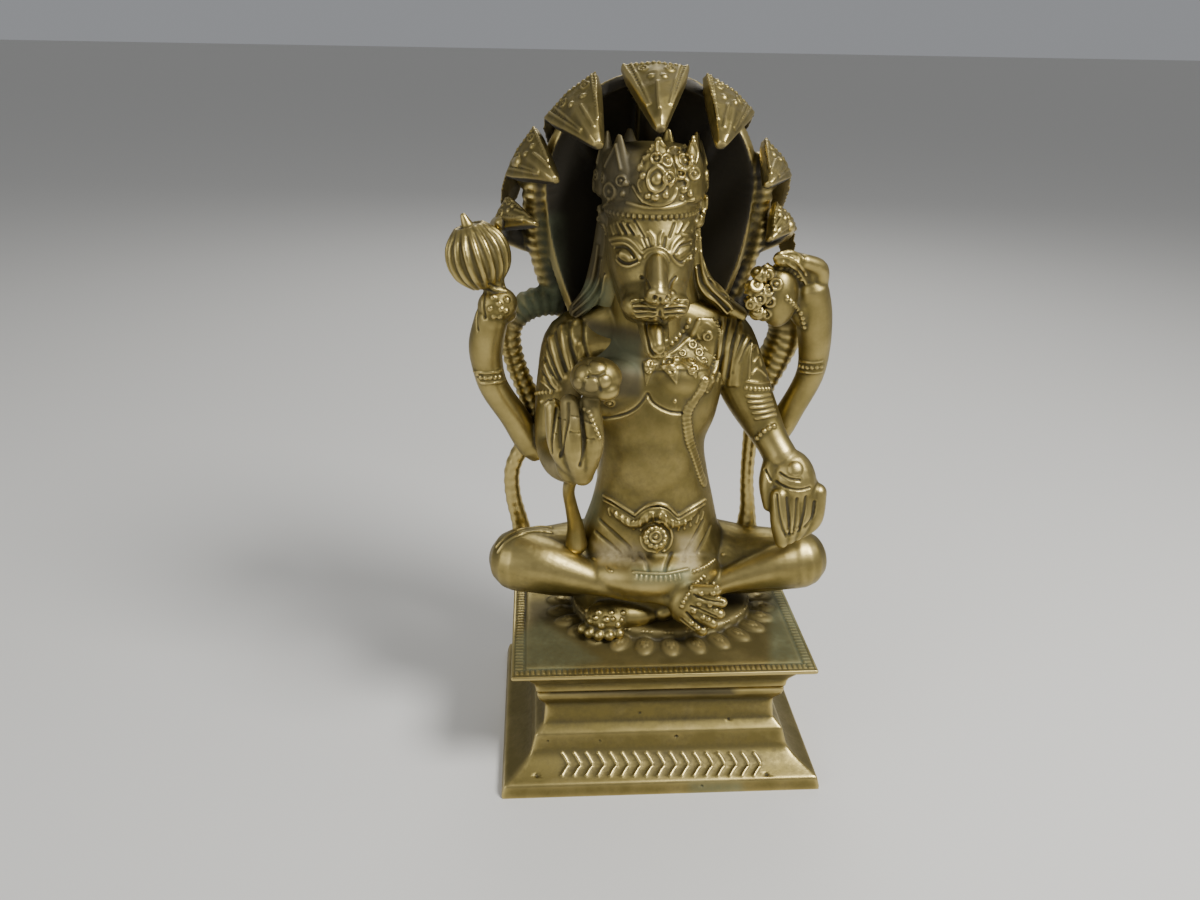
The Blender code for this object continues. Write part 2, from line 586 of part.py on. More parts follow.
def cast_in_one(form):
    """The forms of the figure fused under one closed skin, without any stray blisters."""
    source = new_object("form", to_mesh("form", form))
    remesh = source.modifiers.new("skin", "REMESH")
    remesh.mode = "VOXEL"
    remesh.voxel_size = VOXEL_STEPS * STEP
    soften = source.modifiers.new("soften", "SMOOTH")
    soften.factor = 0.5
    soften.iterations = 2
    skin = bmesh.new()
    skin.from_object(source, bpy.context.evaluated_depsgraph_get())
    bpy.data.objects.remove(source, do_unlink=True)
    skin.verts.ensure_lookup_table()
    waiting = [max(skin.verts, key=lambda vert: vert.co.z)]
    kept = set(waiting)
    while waiting:
        for edge in waiting.pop().link_edges:
            for vert in edge.verts:
                if vert not in kept:
                    kept.add(vert)
                    waiting.append(vert)
    strays = [vert for vert in skin.verts if vert not in kept]
    bmesh.ops.delete(skin, geom=strays, context="VERTS")
    return skin


def figure():
    skin = cast_in_one(figure_body())
    triangles = sum(len(face.verts) - 2 for face in skin.faces)
    item = new_object("figure", to_mesh("figure", skin), brass("figure brass", BRASS))
    thin = item.modifiers.new("thin out", "DECIMATE")
    thin.ratio = FIGURE_TRIANGLES / triangles
    cutter(item, "seat", seat(), "UNION")
    return item


def main():
    clear_scene()
    pedestal()
    figure()


main()
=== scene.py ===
"""Looks of a small cast-brass shrine figure: a lion-faced deity under a seven-headed serpent hood.

The figure's forms are drawn in grid steps from the middle of the seat's top, as in its solids:
+X is the viewer's right, -Y the front and +Z up. One step is one millimetre at the size it has.
"""
import math

import bmesh
import bpy
import numpy as np
from mathutils import Matrix, Vector
from mathutils.bvhtree import BVHTree


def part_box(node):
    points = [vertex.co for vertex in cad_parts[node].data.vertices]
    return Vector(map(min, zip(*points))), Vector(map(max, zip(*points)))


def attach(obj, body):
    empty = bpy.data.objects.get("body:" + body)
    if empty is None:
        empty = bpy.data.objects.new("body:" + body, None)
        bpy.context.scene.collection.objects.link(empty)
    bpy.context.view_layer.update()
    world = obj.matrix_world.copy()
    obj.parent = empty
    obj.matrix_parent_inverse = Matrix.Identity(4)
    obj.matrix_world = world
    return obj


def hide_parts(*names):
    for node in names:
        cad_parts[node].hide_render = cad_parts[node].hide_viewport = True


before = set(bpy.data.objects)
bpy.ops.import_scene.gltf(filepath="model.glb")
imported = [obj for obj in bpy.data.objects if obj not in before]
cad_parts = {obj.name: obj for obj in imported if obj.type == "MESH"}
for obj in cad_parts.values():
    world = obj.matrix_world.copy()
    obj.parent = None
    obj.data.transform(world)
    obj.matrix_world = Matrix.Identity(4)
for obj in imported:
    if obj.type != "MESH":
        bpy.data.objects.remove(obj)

bl_info = {
    "name": "Brass shrine figure",
    "version": (1, 0, 0),
    "blender": (4, 5, 0),
    "location": "3D View > Sidebar > Shrine figure",
    "description": "Models and finishes a cast-brass lion-faced deity on its pedestal",
    "category": "Object",
}

MM = 0.001
BODY = "root"
PEDESTAL_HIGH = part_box("pedestal")[1]
FIGURE_LOW, FIGURE_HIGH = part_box("figure")
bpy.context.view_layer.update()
NECK_TO_SEAT_TOP = 16 * MM
SEAT_TOP = FIGURE_LOW.z + NECK_TO_SEAT_TOP
GRID_STEPS = 234
STEP = round((FIGURE_HIGH.z - SEAT_TOP) / GRID_STEPS, 6)


def linear(code):
    """A colour's linear values, from its sRGB hex code."""
    channels = [int(code[index:index + 2], 16) / 255 for index in (0, 2, 4)]
    return tuple(c / 12.92 if c <= 0.04045 else ((c + 0.055) / 1.055) ** 2.4 for c in channels)


def new_object(name, mesh_data):
    item = bpy.data.objects.new(name, mesh_data)
    bpy.context.scene.collection.objects.link(item)
    return item


def to_mesh(name, bm):
    bmesh.ops.recalc_face_normals(bm, faces=bm.faces)
    mesh_data = bpy.data.meshes.new(name)
    bm.to_mesh(mesh_data)
    bm.free()
    return mesh_data


def merge(form, piece):
    """Add a closed piece to a form; the two may overlap."""
    shell = to_mesh("shell", piece)
    form.from_mesh(shell)
    bpy.data.meshes.remove(shell)


def in_order(parts):
    """Parts of a mesh without repeats, in an order that is the same each run, unlike a set's."""
    return list(dict.fromkeys(parts))


def loft(frames, sides):
    """A closed body through rings of so many sides, one ring for each frame."""
    bm = bmesh.new()
    loops = []
    for matrix in frames:
        ring = bmesh.ops.create_circle(bm, cap_ends=False, radius=1.0, segments=sides,
                                       matrix=matrix)
        loops.append(in_order(edge for vert in ring["verts"] for edge in vert.link_edges))
    for lower, upper in zip(loops, loops[1:]):
        bmesh.ops.bridge_loops(bm, edges=lower + upper)
    for end in (loops[0], loops[-1]):
        bmesh.ops.edgeloop_fill(bm, edges=end)
    return bm


def place(x, y, z):
    """A point of the figure's grid, counted from the middle of the seat's top."""
    return Vector((x * STEP, y * STEP, SEAT_TOP + z * STEP))


def grid(spot):
    """The grid's x, y and z of a point in space."""
    return (spot.x / STEP, spot.y / STEP, (spot.z - SEAT_TOP) / STEP)


def smooth_path(points, spans):
    """Values on a smooth curve through the points, each a tuple of the same length."""
    ends = [points[0]] + list(points) + [points[-1]]
    path = []
    for index in range(1, len(ends) - 2):
        before, start, end, after = ends[index - 1:index + 3]
        for part in range(spans):
            t = part / spans
            path.append(tuple(
                0.5 * (2 * b + (c - a) * t + (2 * a - 5 * b + 4 * c - d) * t ** 2
                       + (3 * b - a - 3 * c + d) * t ** 3)
                for a, b, c, d in zip(before, start, end, after)))
    path.append(tuple(points[-1]))
    return path


def turns(count, shift=0, start=0):
    """Angles spread evenly over a full turn, shifted by a share of their pitch."""
    return [2 * math.pi * (index + shift) / count + start for index in range(count)]


def ball(form, centre, radii, turn=(0, 0, 0), detail=20):
    """An ellipsoid: centre and radii in grid steps, turned by degrees about X, Y and Z."""
    bm = bmesh.new()
    rotation = Matrix.LocRotScale(
        place(*centre),
        Matrix.Rotation(math.radians(turn[2]), 3, "Z")
        @ Matrix.Rotation(math.radians(turn[1]), 3, "Y")
        @ Matrix.Rotation(math.radians(turn[0]), 3, "X"),
        Vector(radii) * STEP)
    bmesh.ops.create_uvsphere(bm, u_segments=detail, v_segments=detail * 2 // 3, radius=1.0,
                              matrix=rotation)
    merge(form, bm)


# A round end in radii: how far out along the limb, and the share of the radius left there.
ROUND_END = ((0.0, 1.0), (0.35, 0.94), (0.7, 0.71), (0.95, 0.3))
LEAST_RADIUS = 0.3


def limb(form, points, flat=1.0, across=(1, 0, 0), sides=16, spans=5):
    """A round-ended limb through points of x, y, z and radius in grid steps.

    flat is the share of the radius that is left at right angles to the across direction.
    """
    path = smooth_path(points, spans)
    centres = [place(*point[:3]) for point in path]
    radii = [max(point[3], LEAST_RADIUS) * STEP for point in path]
    frames = []
    count = len(path)
    for index in range(count):
        along = (centres[min(index + 1, count - 1)] - centres[max(index - 1, 0)]).normalized()
        side = (Vector(across) - along * along.dot(Vector(across))).normalized()
        up = along.cross(side)
        if index == 0:
            caps = [(-shift, share) for shift, share in reversed(ROUND_END)]
        elif index == count - 1:
            caps = ROUND_END
        else:
            caps = ROUND_END[:1]
        for shift, share in caps:
            radius = radii[index]
            frames.append(
                Matrix.Translation(centres[index] + along * shift * radius * flat)
                @ Matrix((side, up, along)).transposed().to_4x4()
                @ Matrix.Diagonal((radius * share, radius * share * flat, 1.0, 1.0)))
    merge(form, loft(frames, sides))


def trunk(form, levels, sides=40, spans=5):
    """An upright body through ellipses of z, centre x, centre y, half width, half depth."""
    frames = []
    for z, x, y, half_width, half_depth in smooth_path(levels, spans):
        frames.append(Matrix.Translation(place(x, y, z))
                      @ Matrix.Diagonal((half_width * STEP, half_depth * STEP, 1.0, 1.0)))
    merge(form, loft(frames, sides))


def evenly(points, pitch):
    """Points a pitch apart along the path through the given ones, all in grid steps."""
    path = [Vector(point) for point in smooth_path(points, 12)]
    spread = [path[0]]
    ahead = pitch
    for start, end in zip(path, path[1:]):
        length = (end - start).length
        walked = 0.0
        while length - walked >= ahead:
            walked += ahead
            spread.append(start.lerp(end, walked / length))
            ahead = pitch
        ahead -= length - walked
    return spread


# The camera, where the photograph was taken: its place, its turns in degrees and its lens.
CAMERA_SPOT = (-52.18 * MM, -378.48 * MM, 301.82 * MM)
CAMERA_YAW = 3.97
CAMERA_PITCH = 23.247
CAMERA_ROLL = 1.07
CAMERA_LENS = 29.1
CAMERA_SENSOR = 36
FRAME_WIDTH, FRAME_HEIGHT = 1200, 900

VIEW = (Matrix.Translation(CAMERA_SPOT)
        @ Matrix.Rotation(math.radians(-CAMERA_YAW), 4, "Z")
        @ Matrix.Rotation(math.radians(90 - CAMERA_PITCH), 4, "X")
        @ Matrix.Rotation(math.radians(CAMERA_ROLL), 4, "Z"))
EYE = VIEW.translation
FOCUS = CAMERA_LENS / CAMERA_SENSOR * FRAME_WIDTH


def sight(across, down):
    """The direction from the camera through a pixel of the photograph."""
    ray = Vector((across - FRAME_WIDTH / 2, FRAME_HEIGHT / 2 - down, -FOCUS))
    return (VIEW.to_3x3() @ ray).normalized()


def framed(points):
    """Where points of the grid lie on the photograph, in pixels."""
    local = (points * STEP + (0, 0, SEAT_TOP) - np.array(EYE)) @ np.array(VIEW.to_3x3())
    return np.stack([FRAME_WIDTH / 2 - FOCUS * local[:, 0] / local[:, 2],
                     FRAME_HEIGHT / 2 + FOCUS * local[:, 1] / local[:, 2]], axis=1)


def eased(share):
    """A share held between 0 and 1, with soft ends."""
    share = np.clip(share, 0, 1)
    return share * share * (3 - 2 * share)


TINTS = ("film_and_shade", "green", "chalk", "rub")
TRIANGLES_PER_CELL = 2

# Rounds of smoothing that take the steps of its cells off a fused skin.
VOXEL_ROUNDS = 4

# Rounds of smoothing that tell fine and broad hollows, and the depths in steps that count as full.
FINE_ROUNDS = 8
BROAD_ROUNDS = 40
FINE_DEPTH = 0.3
BROAD_DEPTH = 0.8


class Skin:
    """The fused surface of one piece, held as arrays in grid steps while it is worked."""

    def __init__(self, name, form, grain):
        """Fuse a form's overlapping shells under one skin with cells of one grain, in steps."""
        shells = to_mesh("shells", form)
        source = new_object("shells", shells)
        remesh = source.modifiers.new("skin", "REMESH")
        remesh.mode = "VOXEL"
        remesh.voxel_size = grain * STEP
        bm = bmesh.new()
        bm.from_object(source, bpy.context.evaluated_depsgraph_get())
        bpy.data.objects.remove(source, do_unlink=True)
        bpy.data.meshes.remove(shells)
        drop_strays(bm)
        self.tree = BVHTree.FromBMesh(bm)
        self.mesh = to_mesh(name, bm)
        count = len(self.mesh.vertices)
        flat = np.empty(count * 3, np.float32)
        self.mesh.vertices.foreach_get("co", flat)
        self.points = (flat.reshape(-1, 3).astype(float) - (0, 0, SEAT_TOP)) / STEP
        pairs = np.empty(len(self.mesh.edges) * 2, np.int32)
        self.mesh.edges.foreach_get("vertices", pairs)
        self.pairs = pairs.reshape(-1, 2)
        self.degree = np.bincount(pairs, minlength=count).astype(float)
        self.tints = {kind: np.zeros(count) for kind in TINTS}
        self.far = (place(*self.points.mean(0)) - EYE).length
        self.relax(VOXEL_ROUNDS, 0.5)
        self.framed = framed(self.points)

    def neighbours(self, values):
        """The mean of each vertex's neighbours."""
        start, end = self.pairs[:, 0], self.pairs[:, 1]
        total = np.empty_like(values)
        for axis in range(values.shape[1]):
            total[:, axis] = (np.bincount(start, values[end, axis], len(values))
                              + np.bincount(end, values[start, axis], len(values)))
        return total / self.degree[:, None]

    def relax(self, times, factor):
        for _ in range(times):
            self.points += (self.neighbours(self.points) - self.points) * factor
        self.write()

    def soften(self, path, distance, times):
        """Smooth away the creases between shells that lie near to a path."""
        near, away, _ = self.reach(path, distance)
        share = eased(2 - 2 * away / distance)[:, None] / 2
        for _ in range(times):
            self.points[near] += (self.neighbours(self.points)[near] - self.points[near]) * share
        self.write()

    def write(self):
        """Put the points back in the mesh and read its normals again."""
        flat = (self.points * STEP + (0, 0, SEAT_TOP)).astype(np.float32).ravel()
        self.mesh.vertices.foreach_set("co", flat)
        self.mesh.update()
        normals = np.empty(len(flat), np.float32)
        self.mesh.vertices.foreach_get("normal", normals)
        self.normals = normals.reshape(-1, 3).astype(float)

    def seen(self, spots):
        """The points of the skin that show at spots of the photograph."""
        found = []
        for across, down in spots:
            way = sight(across, down)
            hit, _, _, distance = self.tree.ray_cast(EYE, way)
            if hit is None:
                hit = self.tree.find_nearest(EYE + way * self.far)[0]
            else:
                self.far = distance
            found.append(grid(hit))
        return found

    def nearest(self, points):
        """The points of the skin nearest to points of the grid."""
        return [grid(self.tree.find_nearest(place(*point))[0]) for point in points]

    def reach(self, path, distance):
        """Vertices nearer to a path than a distance, how far off and how far along it they lie."""
        path = np.array([tuple(point) for point in path], float)
        if len(path) == 1:
            path = np.repeat(path, 2, 0)
        low, high = path.min(0) - distance, path.max(0) + distance
        near = np.nonzero(np.all((self.points > low) & (self.points < high), axis=1))[0]
        spot = self.points[near]
        away = np.full(len(near), np.inf)
        walked = np.zeros(len(near))
        passed = 0.0
        for start, end in zip(path, path[1:]):
            along = end - start
            length = np.linalg.norm(along)
            share = np.clip((spot - start) @ along / max(length ** 2, 1e-9), 0, 1)
            here = np.linalg.norm(spot - start - share[:, None] * along, axis=1)
            closer = here < away
            away[closer] = here[closer]
            walked[closer] = passed + share[closer] * length
            passed += length
        inside = away < distance
        return near[inside], away[inside], walked[inside]

    def push(self, near, lift):
        self.points[near] += self.normals[near] * lift[:, None]

    def score(self, path, width, height):
        """Raise a ridge along a path by a height, or cut a groove where it is less than zero."""
        near, away, _ = self.reach(path, width)
        self.push(near, height * (1 - (away / width) ** 2) ** 2)

    def band(self, path, width, height, edge=0.6):
        """Raise a flat strip of a half width along a path, with sides of a width of their own."""
        near, away, _ = self.reach(path, width + edge)
        self.push(near, height * eased((width + edge - away) / edge))

    def ripple(self, path, width, pitch, height):
        """Ridges across a path, a pitch apart, that die out at a half width."""
        near, away, walked = self.reach(path, width)
        fade = eased((width - away) / (0.35 * width))
        self.push(near, height * fade * np.cos(2 * math.pi * walked / pitch))

    def boss(self, centre, radius, height):
        """A round bead on the skin, or a round dent where the height is less than zero."""
        near, away, _ = self.reach([centre], radius)
        self.push(near, height * (1 - (away / radius) ** 2) ** 0.7)

    def bosses(self, spots, height):
        """Beads at spots of the photograph, each with its radius in grid steps."""
        for across, down, radius in spots:
            self.boss(self.seen([(across, down)])[0], radius, height)

    def rings(self, spots, height):
        """Ringed beads at spots of the photograph, each with its radius in grid steps."""
        for across, down, radius in spots:
            self.ringed(self.seen([(across, down)])[0], radius, height)

    def ringed(self, centre, radius, height):
        """A bead in the middle of a raised ring."""
        near, away, _ = self.reach([centre], radius * 1.4)
        ring = np.exp(-((away / radius - 1) / 0.26) ** 2)
        middle = np.clip(1 - (away / radius / 0.5) ** 2, 0, 1)
        self.push(near, height * (ring + middle))

    def draw(self, lines, width, height):
        """Score lines through spots of the photograph."""
        for spots in lines:
            self.score(smooth_path(self.seen(spots), 5), width, height)
        self.write()

    def beads(self, path, radius, pitch, height):
        """A row of beads a pitch apart along a path."""
        for spot in evenly(path, pitch):
            self.boss(tuple(spot), radius, height)
        self.write()

    def strokes(self, path, length, pitch, width, height):
        """A row of short strokes across a path, a pitch apart."""
        spots = evenly(path, pitch)
        for index, spot in enumerate(spots):
            ahead = spots[min(index + 1, len(spots) - 1)] - spots[max(index - 1, 0)]
            normal = self.tree.find_nearest(place(*spot))[1]
            across = normal.cross(ahead).normalized() * length / 2
            self.score([spot - across, spot + across], width, height)
        self.write()

    def within(self, outline, edge):
        """Vertices that show inside an outline on the photograph, and how fully, over an edge."""
        corners = np.array(outline, float)
        toward = np.array(grid(EYE)) - self.points
        facing = np.einsum("ij,ij->i", self.normals, toward) > 0
        boxed = np.all((self.framed > corners.min(0) - edge) & (self.framed < corners.max(0) + edge),
                       axis=1)
        near = np.nonzero(facing & boxed)[0]
        spot = self.framed[near]
        inside = np.zeros(len(near), bool)
        away = np.full(len(near), np.inf)
        for start, end in zip(corners, np.roll(corners, -1, 0)):
            along = end - start
            share = np.clip((spot - start) @ along / (along @ along), 0, 1)
            away = np.minimum(away, np.linalg.norm(spot - start - share[:, None] * along, axis=1))
            spans = (start[1] > spot[:, 1]) != (end[1] > spot[:, 1])
            if along[1]:
                level = start[0] + along[0] * (spot[:, 1] - start[1]) / along[1]
                inside ^= spans & (spot[:, 0] < level)
        return near, eased(np.where(inside, away, -away) / edge + 0.5)

    def plate(self, outline, height, edge=2.0):
        """Raise what shows inside an outline on the photograph; the edge is in pixels."""
        near, share = self.within(outline, edge)
        self.push(near, height * share)
        self.write()

    def stain_and_shade(self, name, outline, amount, edge=12.0):
        """Lay a tint on what shows inside an outline on the photograph: verdigris, powder, wear or
        painted shade.
        """
        near, share = self.within(outline, edge)
        self.tints[name][near] = np.maximum(self.tints[name][near], amount * share)

    def stains_and_shade(self, rows):
        for row in rows:
            self.stain_and_shade(*row)

    def hollows(self):
        """How far each vertex lies under the surface around it, from fine to broad, -1 to 1."""
        fine = self.points.copy()
        for _ in range(FINE_ROUNDS):
            fine = (fine + self.neighbours(fine)) / 2
        broad = fine.copy()
        for _ in range(BROAD_ROUNDS):
            broad = (broad + self.neighbours(broad)) / 2
        near = np.einsum("ij,ij->i", fine - self.points, self.normals) / FINE_DEPTH
        far = np.einsum("ij,ij->i", broad - fine, self.normals) / BROAD_DEPTH
        return np.clip(near + far, -1, 1)

    def finish(self, material, budget):
        """Give the mesh its tints and material, thin it to a budget of triangles and place it."""
        self.write()
        self.tints["hollow"] = self.hollows()
        for name, values in self.tints.items():
            layer = self.mesh.attributes.new(name, "FLOAT", "POINT")
            layer.data.foreach_set("value", values.astype(np.float32))
        self.mesh.materials.append(material)
        self.mesh.shade_smooth()
        name = self.mesh.name
        self.mesh.name = "draft"
        draft = new_object("draft", self.mesh)
        thin = draft.modifiers.new("thin", "DECIMATE")
        thin.ratio = min(1, budget / (TRIANGLES_PER_CELL * len(self.mesh.polygons)))
        depsgraph = bpy.context.evaluated_depsgraph_get()
        kept = bpy.data.meshes.new_from_object(draft.evaluated_get(depsgraph),
                                               preserve_all_data_layers=True, depsgraph=depsgraph)
        bpy.data.objects.remove(draft, do_unlink=True)
        bpy.data.meshes.remove(self.mesh)
        kept.name = name
        return new_object(name, kept)


def drop_strays(bm, least=400):
    """Delete loose blisters of fewer vertices than the least from a fused skin."""
    unseen = dict.fromkeys(bm.verts)
    strays = []
    while unseen:
        island = [unseen.popitem()[0]]
        for vert in island:
            for edge in vert.link_edges:
                other = edge.other_vert(vert)
                if other in unseen:
                    del unseen[other]
                    island.append(other)
        if len(island) < least:
            strays += island
    bmesh.ops.delete(bm, geom=strays, context="VERTS")


def torso(form):
    trunk(form, [(1, -2, 6, 34, 22), (18, -2, 7, 37, 25), (32, -2, 6, 34, 23),
                 (44, -2.5, 3, 30, 20), (57, -2.5, 0, 26.5, 17.5), (72, -3.2, -2, 23.4, 16.5),
                 (86, -4, -3, 22, 16), (98, -3.6, -3, 25.4, 16.5), (113, -4.8, -1, 29.5, 16),
                 (123, -5.5, 2, 31, 15), (131, -6.5, 4, 30, 12.5), (139, -7.5, 3, 24, 10.5)])
    trunk(form, [(124, -7, 0, 16, 12), (140, -8.5, -2, 15, 13), (158, -9.5, -6, 14, 13)])
    for start_x, end_x in ((-9, -31), (-5, 21)):
        limb(form, [(start_x, 0, 142, 8), ((start_x + end_x) / 2, 1, 138, 9),
                    (end_x, 3, 131, 10.5)], sides=28)
    for side_x in (-21.5, 4.5):
        ball(form, (side_x, -9.6, 114), (14.8, 8.6, 10.5), (14, 0, 0), 28)
    ball(form, (-4, -9, 80), (18, 11, 24), detail=28)
    ball(form, (-3, -6, 26), (31, 22, 13), (-8, 0, 0), 28)


def legs(form):
    ball(form, (-2, 12, 23), (34, 19, 18.5), detail=32)
    limb(form, [(-20, 12, 22, 19), (-42, 5, 24, 16.5), (-55, -2, 28, 14.4),
                (-60, -4, 29.5, 13.8)], sides=32)
    limb(form, [(16, 12, 22, 19), (40, 5, 23, 16), (58, -2, 26.5, 13.8), (63, -4, 27.7, 13.4)],
         sides=32)
    limb(form, [(-60.5, -4, 29.5, 14), (-50, -8, 29, 12.2), (-37, -12, 26.5, 8.8),
                (-24, -16, 23.6, 5.8), (-13, -19.5, 21.2, 4.1), (-2, -22, 20.4, 3.4),
                (5, -24, 19.6, 3.6)], sides=32)
    limb(form, [(63.5, -4, 27.7, 13.4), (54, -7, 27, 11), (40.5, -10, 24.3, 7.6),
                (26, -12, 20, 5), (14, -14, 14, 4.2), (2, -15, 8, 4)], sides=32)


def feet(form):
    ball(form, (11.5, -26, 19), (9, 5.5, 9.5), (0, 12, 8))
    toes = [(14, 27.4, 22.2, 28.6), (14, 24, 25, 22.6), (13.4, 20.4, 24.4, 16.8),
            (12, 17.2, 21.6, 12), (9.6, 14.4, 17.4, 8.4)]
    for start_x, start_z, end_x, end_z in toes:
        limb(form, [(start_x, -28.5, start_z, 2.8), (end_x, -31, end_z, 2.4)])
    ball(form, (-14, -15, 8), (15, 7.5, 6.5), (0, 6, 4))
    ball(form, (-22, -17, 7.6), (11, 8.5, 6.2), (0, 8, 14))
    for index in range(5):
        turn = math.radians(205 + 24 * index)
        root = (-23.5, -16.5, 6)
        tip = (root[0] + 11 * math.cos(turn), root[1] + 9.5 * math.sin(turn), 3.6)
        limb(form, [(*root, 3), (*tip, 2.5)])


def right_arms_form(form):
    limb(form, [(-16, 8, 122, 6), (-23, 5, 126, 9.5), (-28, 3, 128.5, 11.4),
                (-37.5, 3, 127, 12), (-42, 1, 113, 10.4),
                (-44.5, -1, 99, 9), (-45, -5, 86, 8.4), (-44, -16, 83, 7.2),
                (-41, -28, 85, 6.4), (-38, -37, 90, 6.4)], sides=28)
    limb(form, [(-30, 9, 122, 9), (-40, 9, 108, 8.4), (-48, 8, 90, 7.6), (-53, 5, 80, 7),
                (-62.5, 2, 95.5, 6), (-70, -1, 109, 6), (-72.5, -3, 120, 6.4),
                (-72.5, -5, 129, 7), (-70, -8, 140, 6.6)], sides=28)
    raised_hand(form)
    lotus_bud(form)
    limb(form, [(-38, -30, 84, 3), (-40, -22, 72, 2.6), (-38.5, -14, 60, 2.8),
                (-36.5, -8, 48, 3.6), (-36, -6, 38, 5)])


def left_arms_form(form):
    limb(form, [(6, 8, 122, 6), (13, 5, 126, 9.5), (18, 3, 128.5, 11.4), (25, 4, 128, 11.8),
                (30.5, 3, 117, 11.4), (36, 2, 105, 10.4),
                (42, 1, 94, 8.8), (46.5, -4, 86, 7.2), (50, -8, 80, 7.2)], sides=28)
    limb(form, [(20, 9, 122, 9), (34, 9, 106, 8.4), (46, 9, 90, 7), (51.5, 9, 85, 6.4),
                (57.5, 7, 97, 5.6), (62.5, 4, 112, 5.8), (62, 0, 126, 6.6),
                (59.5, -3, 140, 7.4), (57, -5, 150, 7)], sides=28)
    resting_hand(form)
    discus(form)


def raised_hand(form):
    """The front right hand, held up with a fruit on its fingertips."""
    ball(form, (-38, -40, 95), (8, 6.5, 12), (0, 8, 0))
    fingers = [(-46.5, -40, 115, -44, -43, 99, 4.2), (-40.5, -45, 118, -38.5, -47, 101, 4.6),
               (-33, -45, 119, -32, -47, 103, 4.4)]
    for tip_x, tip_y, tip_z, mid_x, mid_y, mid_z, radius in fingers:
        limb(form, [(tip_x, tip_y, tip_z, radius * 0.8), (mid_x, mid_y, mid_z, radius),
                    (-35.5, -42, 88, radius)])
    ball(form, (-31, -45, 128), (9.6, 8, 7.6))
    ball(form, (-27.5, -48, 124.5), (5, 5, 4.2))


def resting_hand(form):
    """The front left hand, hanging over the knee."""
    ball(form, (55, -12, 70), (10.5, 9, 14), (-14, -10, 0))
    ball(form, (57.5, -13, 63), (10.5, 8, 14), (-10, -4, 0))
    for index in range(4):
        share = index / 3
        limb(form, [(48.5 + 17 * share, -18 + 3 * share, 66, 4.2),
                    (49 + 15.5 * share, -21 + 3.4 * share, 55, 4),
                    (50.5 + 10 * share, -21 + 3 * share, 46 + 3.5 * share, 3)])
    limb(form, [(47, -9, 78, 4.4), (44.5, -13, 70, 4), (45.5, -16, 61, 3.2)])


BUD_RIBS = 17
BUD_MIDDLE = (-74.5, -6, 164)
BUD_LEAN = -16
DISC_PETALS = 9


def lotus_bud(form):
    """The upper right hand and the ribbed bud that it holds up."""
    ball(form, (-67.5, -9, 145.5), (8, 6.5, 7), (0, -20, 0))
    limb(form, [(-64, -8, 142, 4), (-68, -8, 150, 4.4), (-69.5, -7, 156, 4.6)])
    ball(form, BUD_MIDDLE, (11.4, 11.4, 12), (0, BUD_LEAN, 0), 32)
    for around in turns(BUD_RIBS):
        points = []
        for level in (-60, -30, 0, 30, 62):
            climb = math.radians(level)
            wide = 11.6 * math.cos(climb)
            point = Matrix.Rotation(math.radians(BUD_LEAN), 3, "Y") @ Vector(
                (wide * math.cos(around), wide * math.sin(around), 12.6 * math.sin(climb)))
            points.append((*(spot + out for spot, out in zip(BUD_MIDDLE, point)), 1.2))
        limb(form, points, sides=8, spans=4)
    limb(form, [(-77.6, -6, 174, 3), (-79.6, -6, 179, 1.3)])


def discus(form):
    """The upper left hand, bent over the petalled disc that it holds."""
    ball(form, (56, -4, 146), (8.6, 6.5, 12), (0, -8, 0))
    for index in range(4):
        share = index / 3
        limb(form, [(59.5 - 8 * share, -5, 152 + 3 * share, 3.8),
                    (58 - 10 * share, -9, 160 + 3 * share, 3.6),
                    (51 - 9.5 * share, -12, 163.5 + share, 3)])
    ball(form, (43, -8, 149), (7.5, 9, 12.5), (0, 0, -38), 28)
    for around in turns(DISC_PETALS):
        ball(form, (36 + 4.8 * math.cos(around), -12 + 3.4 * math.cos(around),
                    151 + 8.6 * math.sin(around)), (3.2, 3, 3), detail=14)
    ball(form, (35, -14, 151), (4, 3.4, 4), detail=16)


def head_form(form):
    trunk(form, [(142, -9, -14, 9.4, 12), (148, -9, -15, 12, 16), (156, -9, -14, 14.6, 18.5),
                 (166, -9, -12, 16.8, 19.5), (176, -9.2, -10, 17, 20), (184, -9.4, -9, 16.8, 19.5),
                 (196, -9.6, -8, 16, 17), (204, -9.6, -7, 10, 11)], sides=48)
    limb(form, [(-9.3, -12.5, 182, 16), (-9.3, -16, 172, 16.4), (-9.4, -21.5, 162, 15),
                (-9.4, -27, 155, 12.4)], sides=40, spans=6)
    ball(form, (-9.4, -30.5, 154.8), (12.4, 13.5, 8.6), (10, 0, 0), 32)
    limb(form, [(-9, -27, 171.5, 4.6), (-9.2, -35, 166, 4), (-9.6, -43, 159.5, 4.4)])
    ball(form, (-9.7, -44.5, 157.4), (5, 3.6, 2.8))
    for side in (-1, 1):
        ball(form, (-9.4 + side * 6.4, -37.4, 152.8), (6.4, 6.8, 5), (0, side * -12, 0))
        ball(form, (-9 + side * 10.4, -26.2, 168.6), (3.9, 3.2, 2.8))
    limb(form, [(-9.3, -24, 146, 6.2), (-8.8, -34, 141, 5.6), (-8.4, -39, 136, 4.4)], flat=0.7)
    limb(form, [(-8.8, -37, 143, 3), (-8.6, -41, 139, 2.6)])
    limb(form, [(-25, -12, 178, 3.6), (-28.4, -12.5, 183.4, 1.3)])
    limb(form, [(7.6, -12, 179, 3.6), (10.8, -12.5, 187.4, 1.3)])


# The crown's leaves, and how many of them are carved from the photograph and not by rule.
CROWN_PLATES = 7
PLATES_IN_PHOTO = 2
CROWN_MIDDLE = (-9.2, -9.4)
CROWN_LEAF_REACH = 17


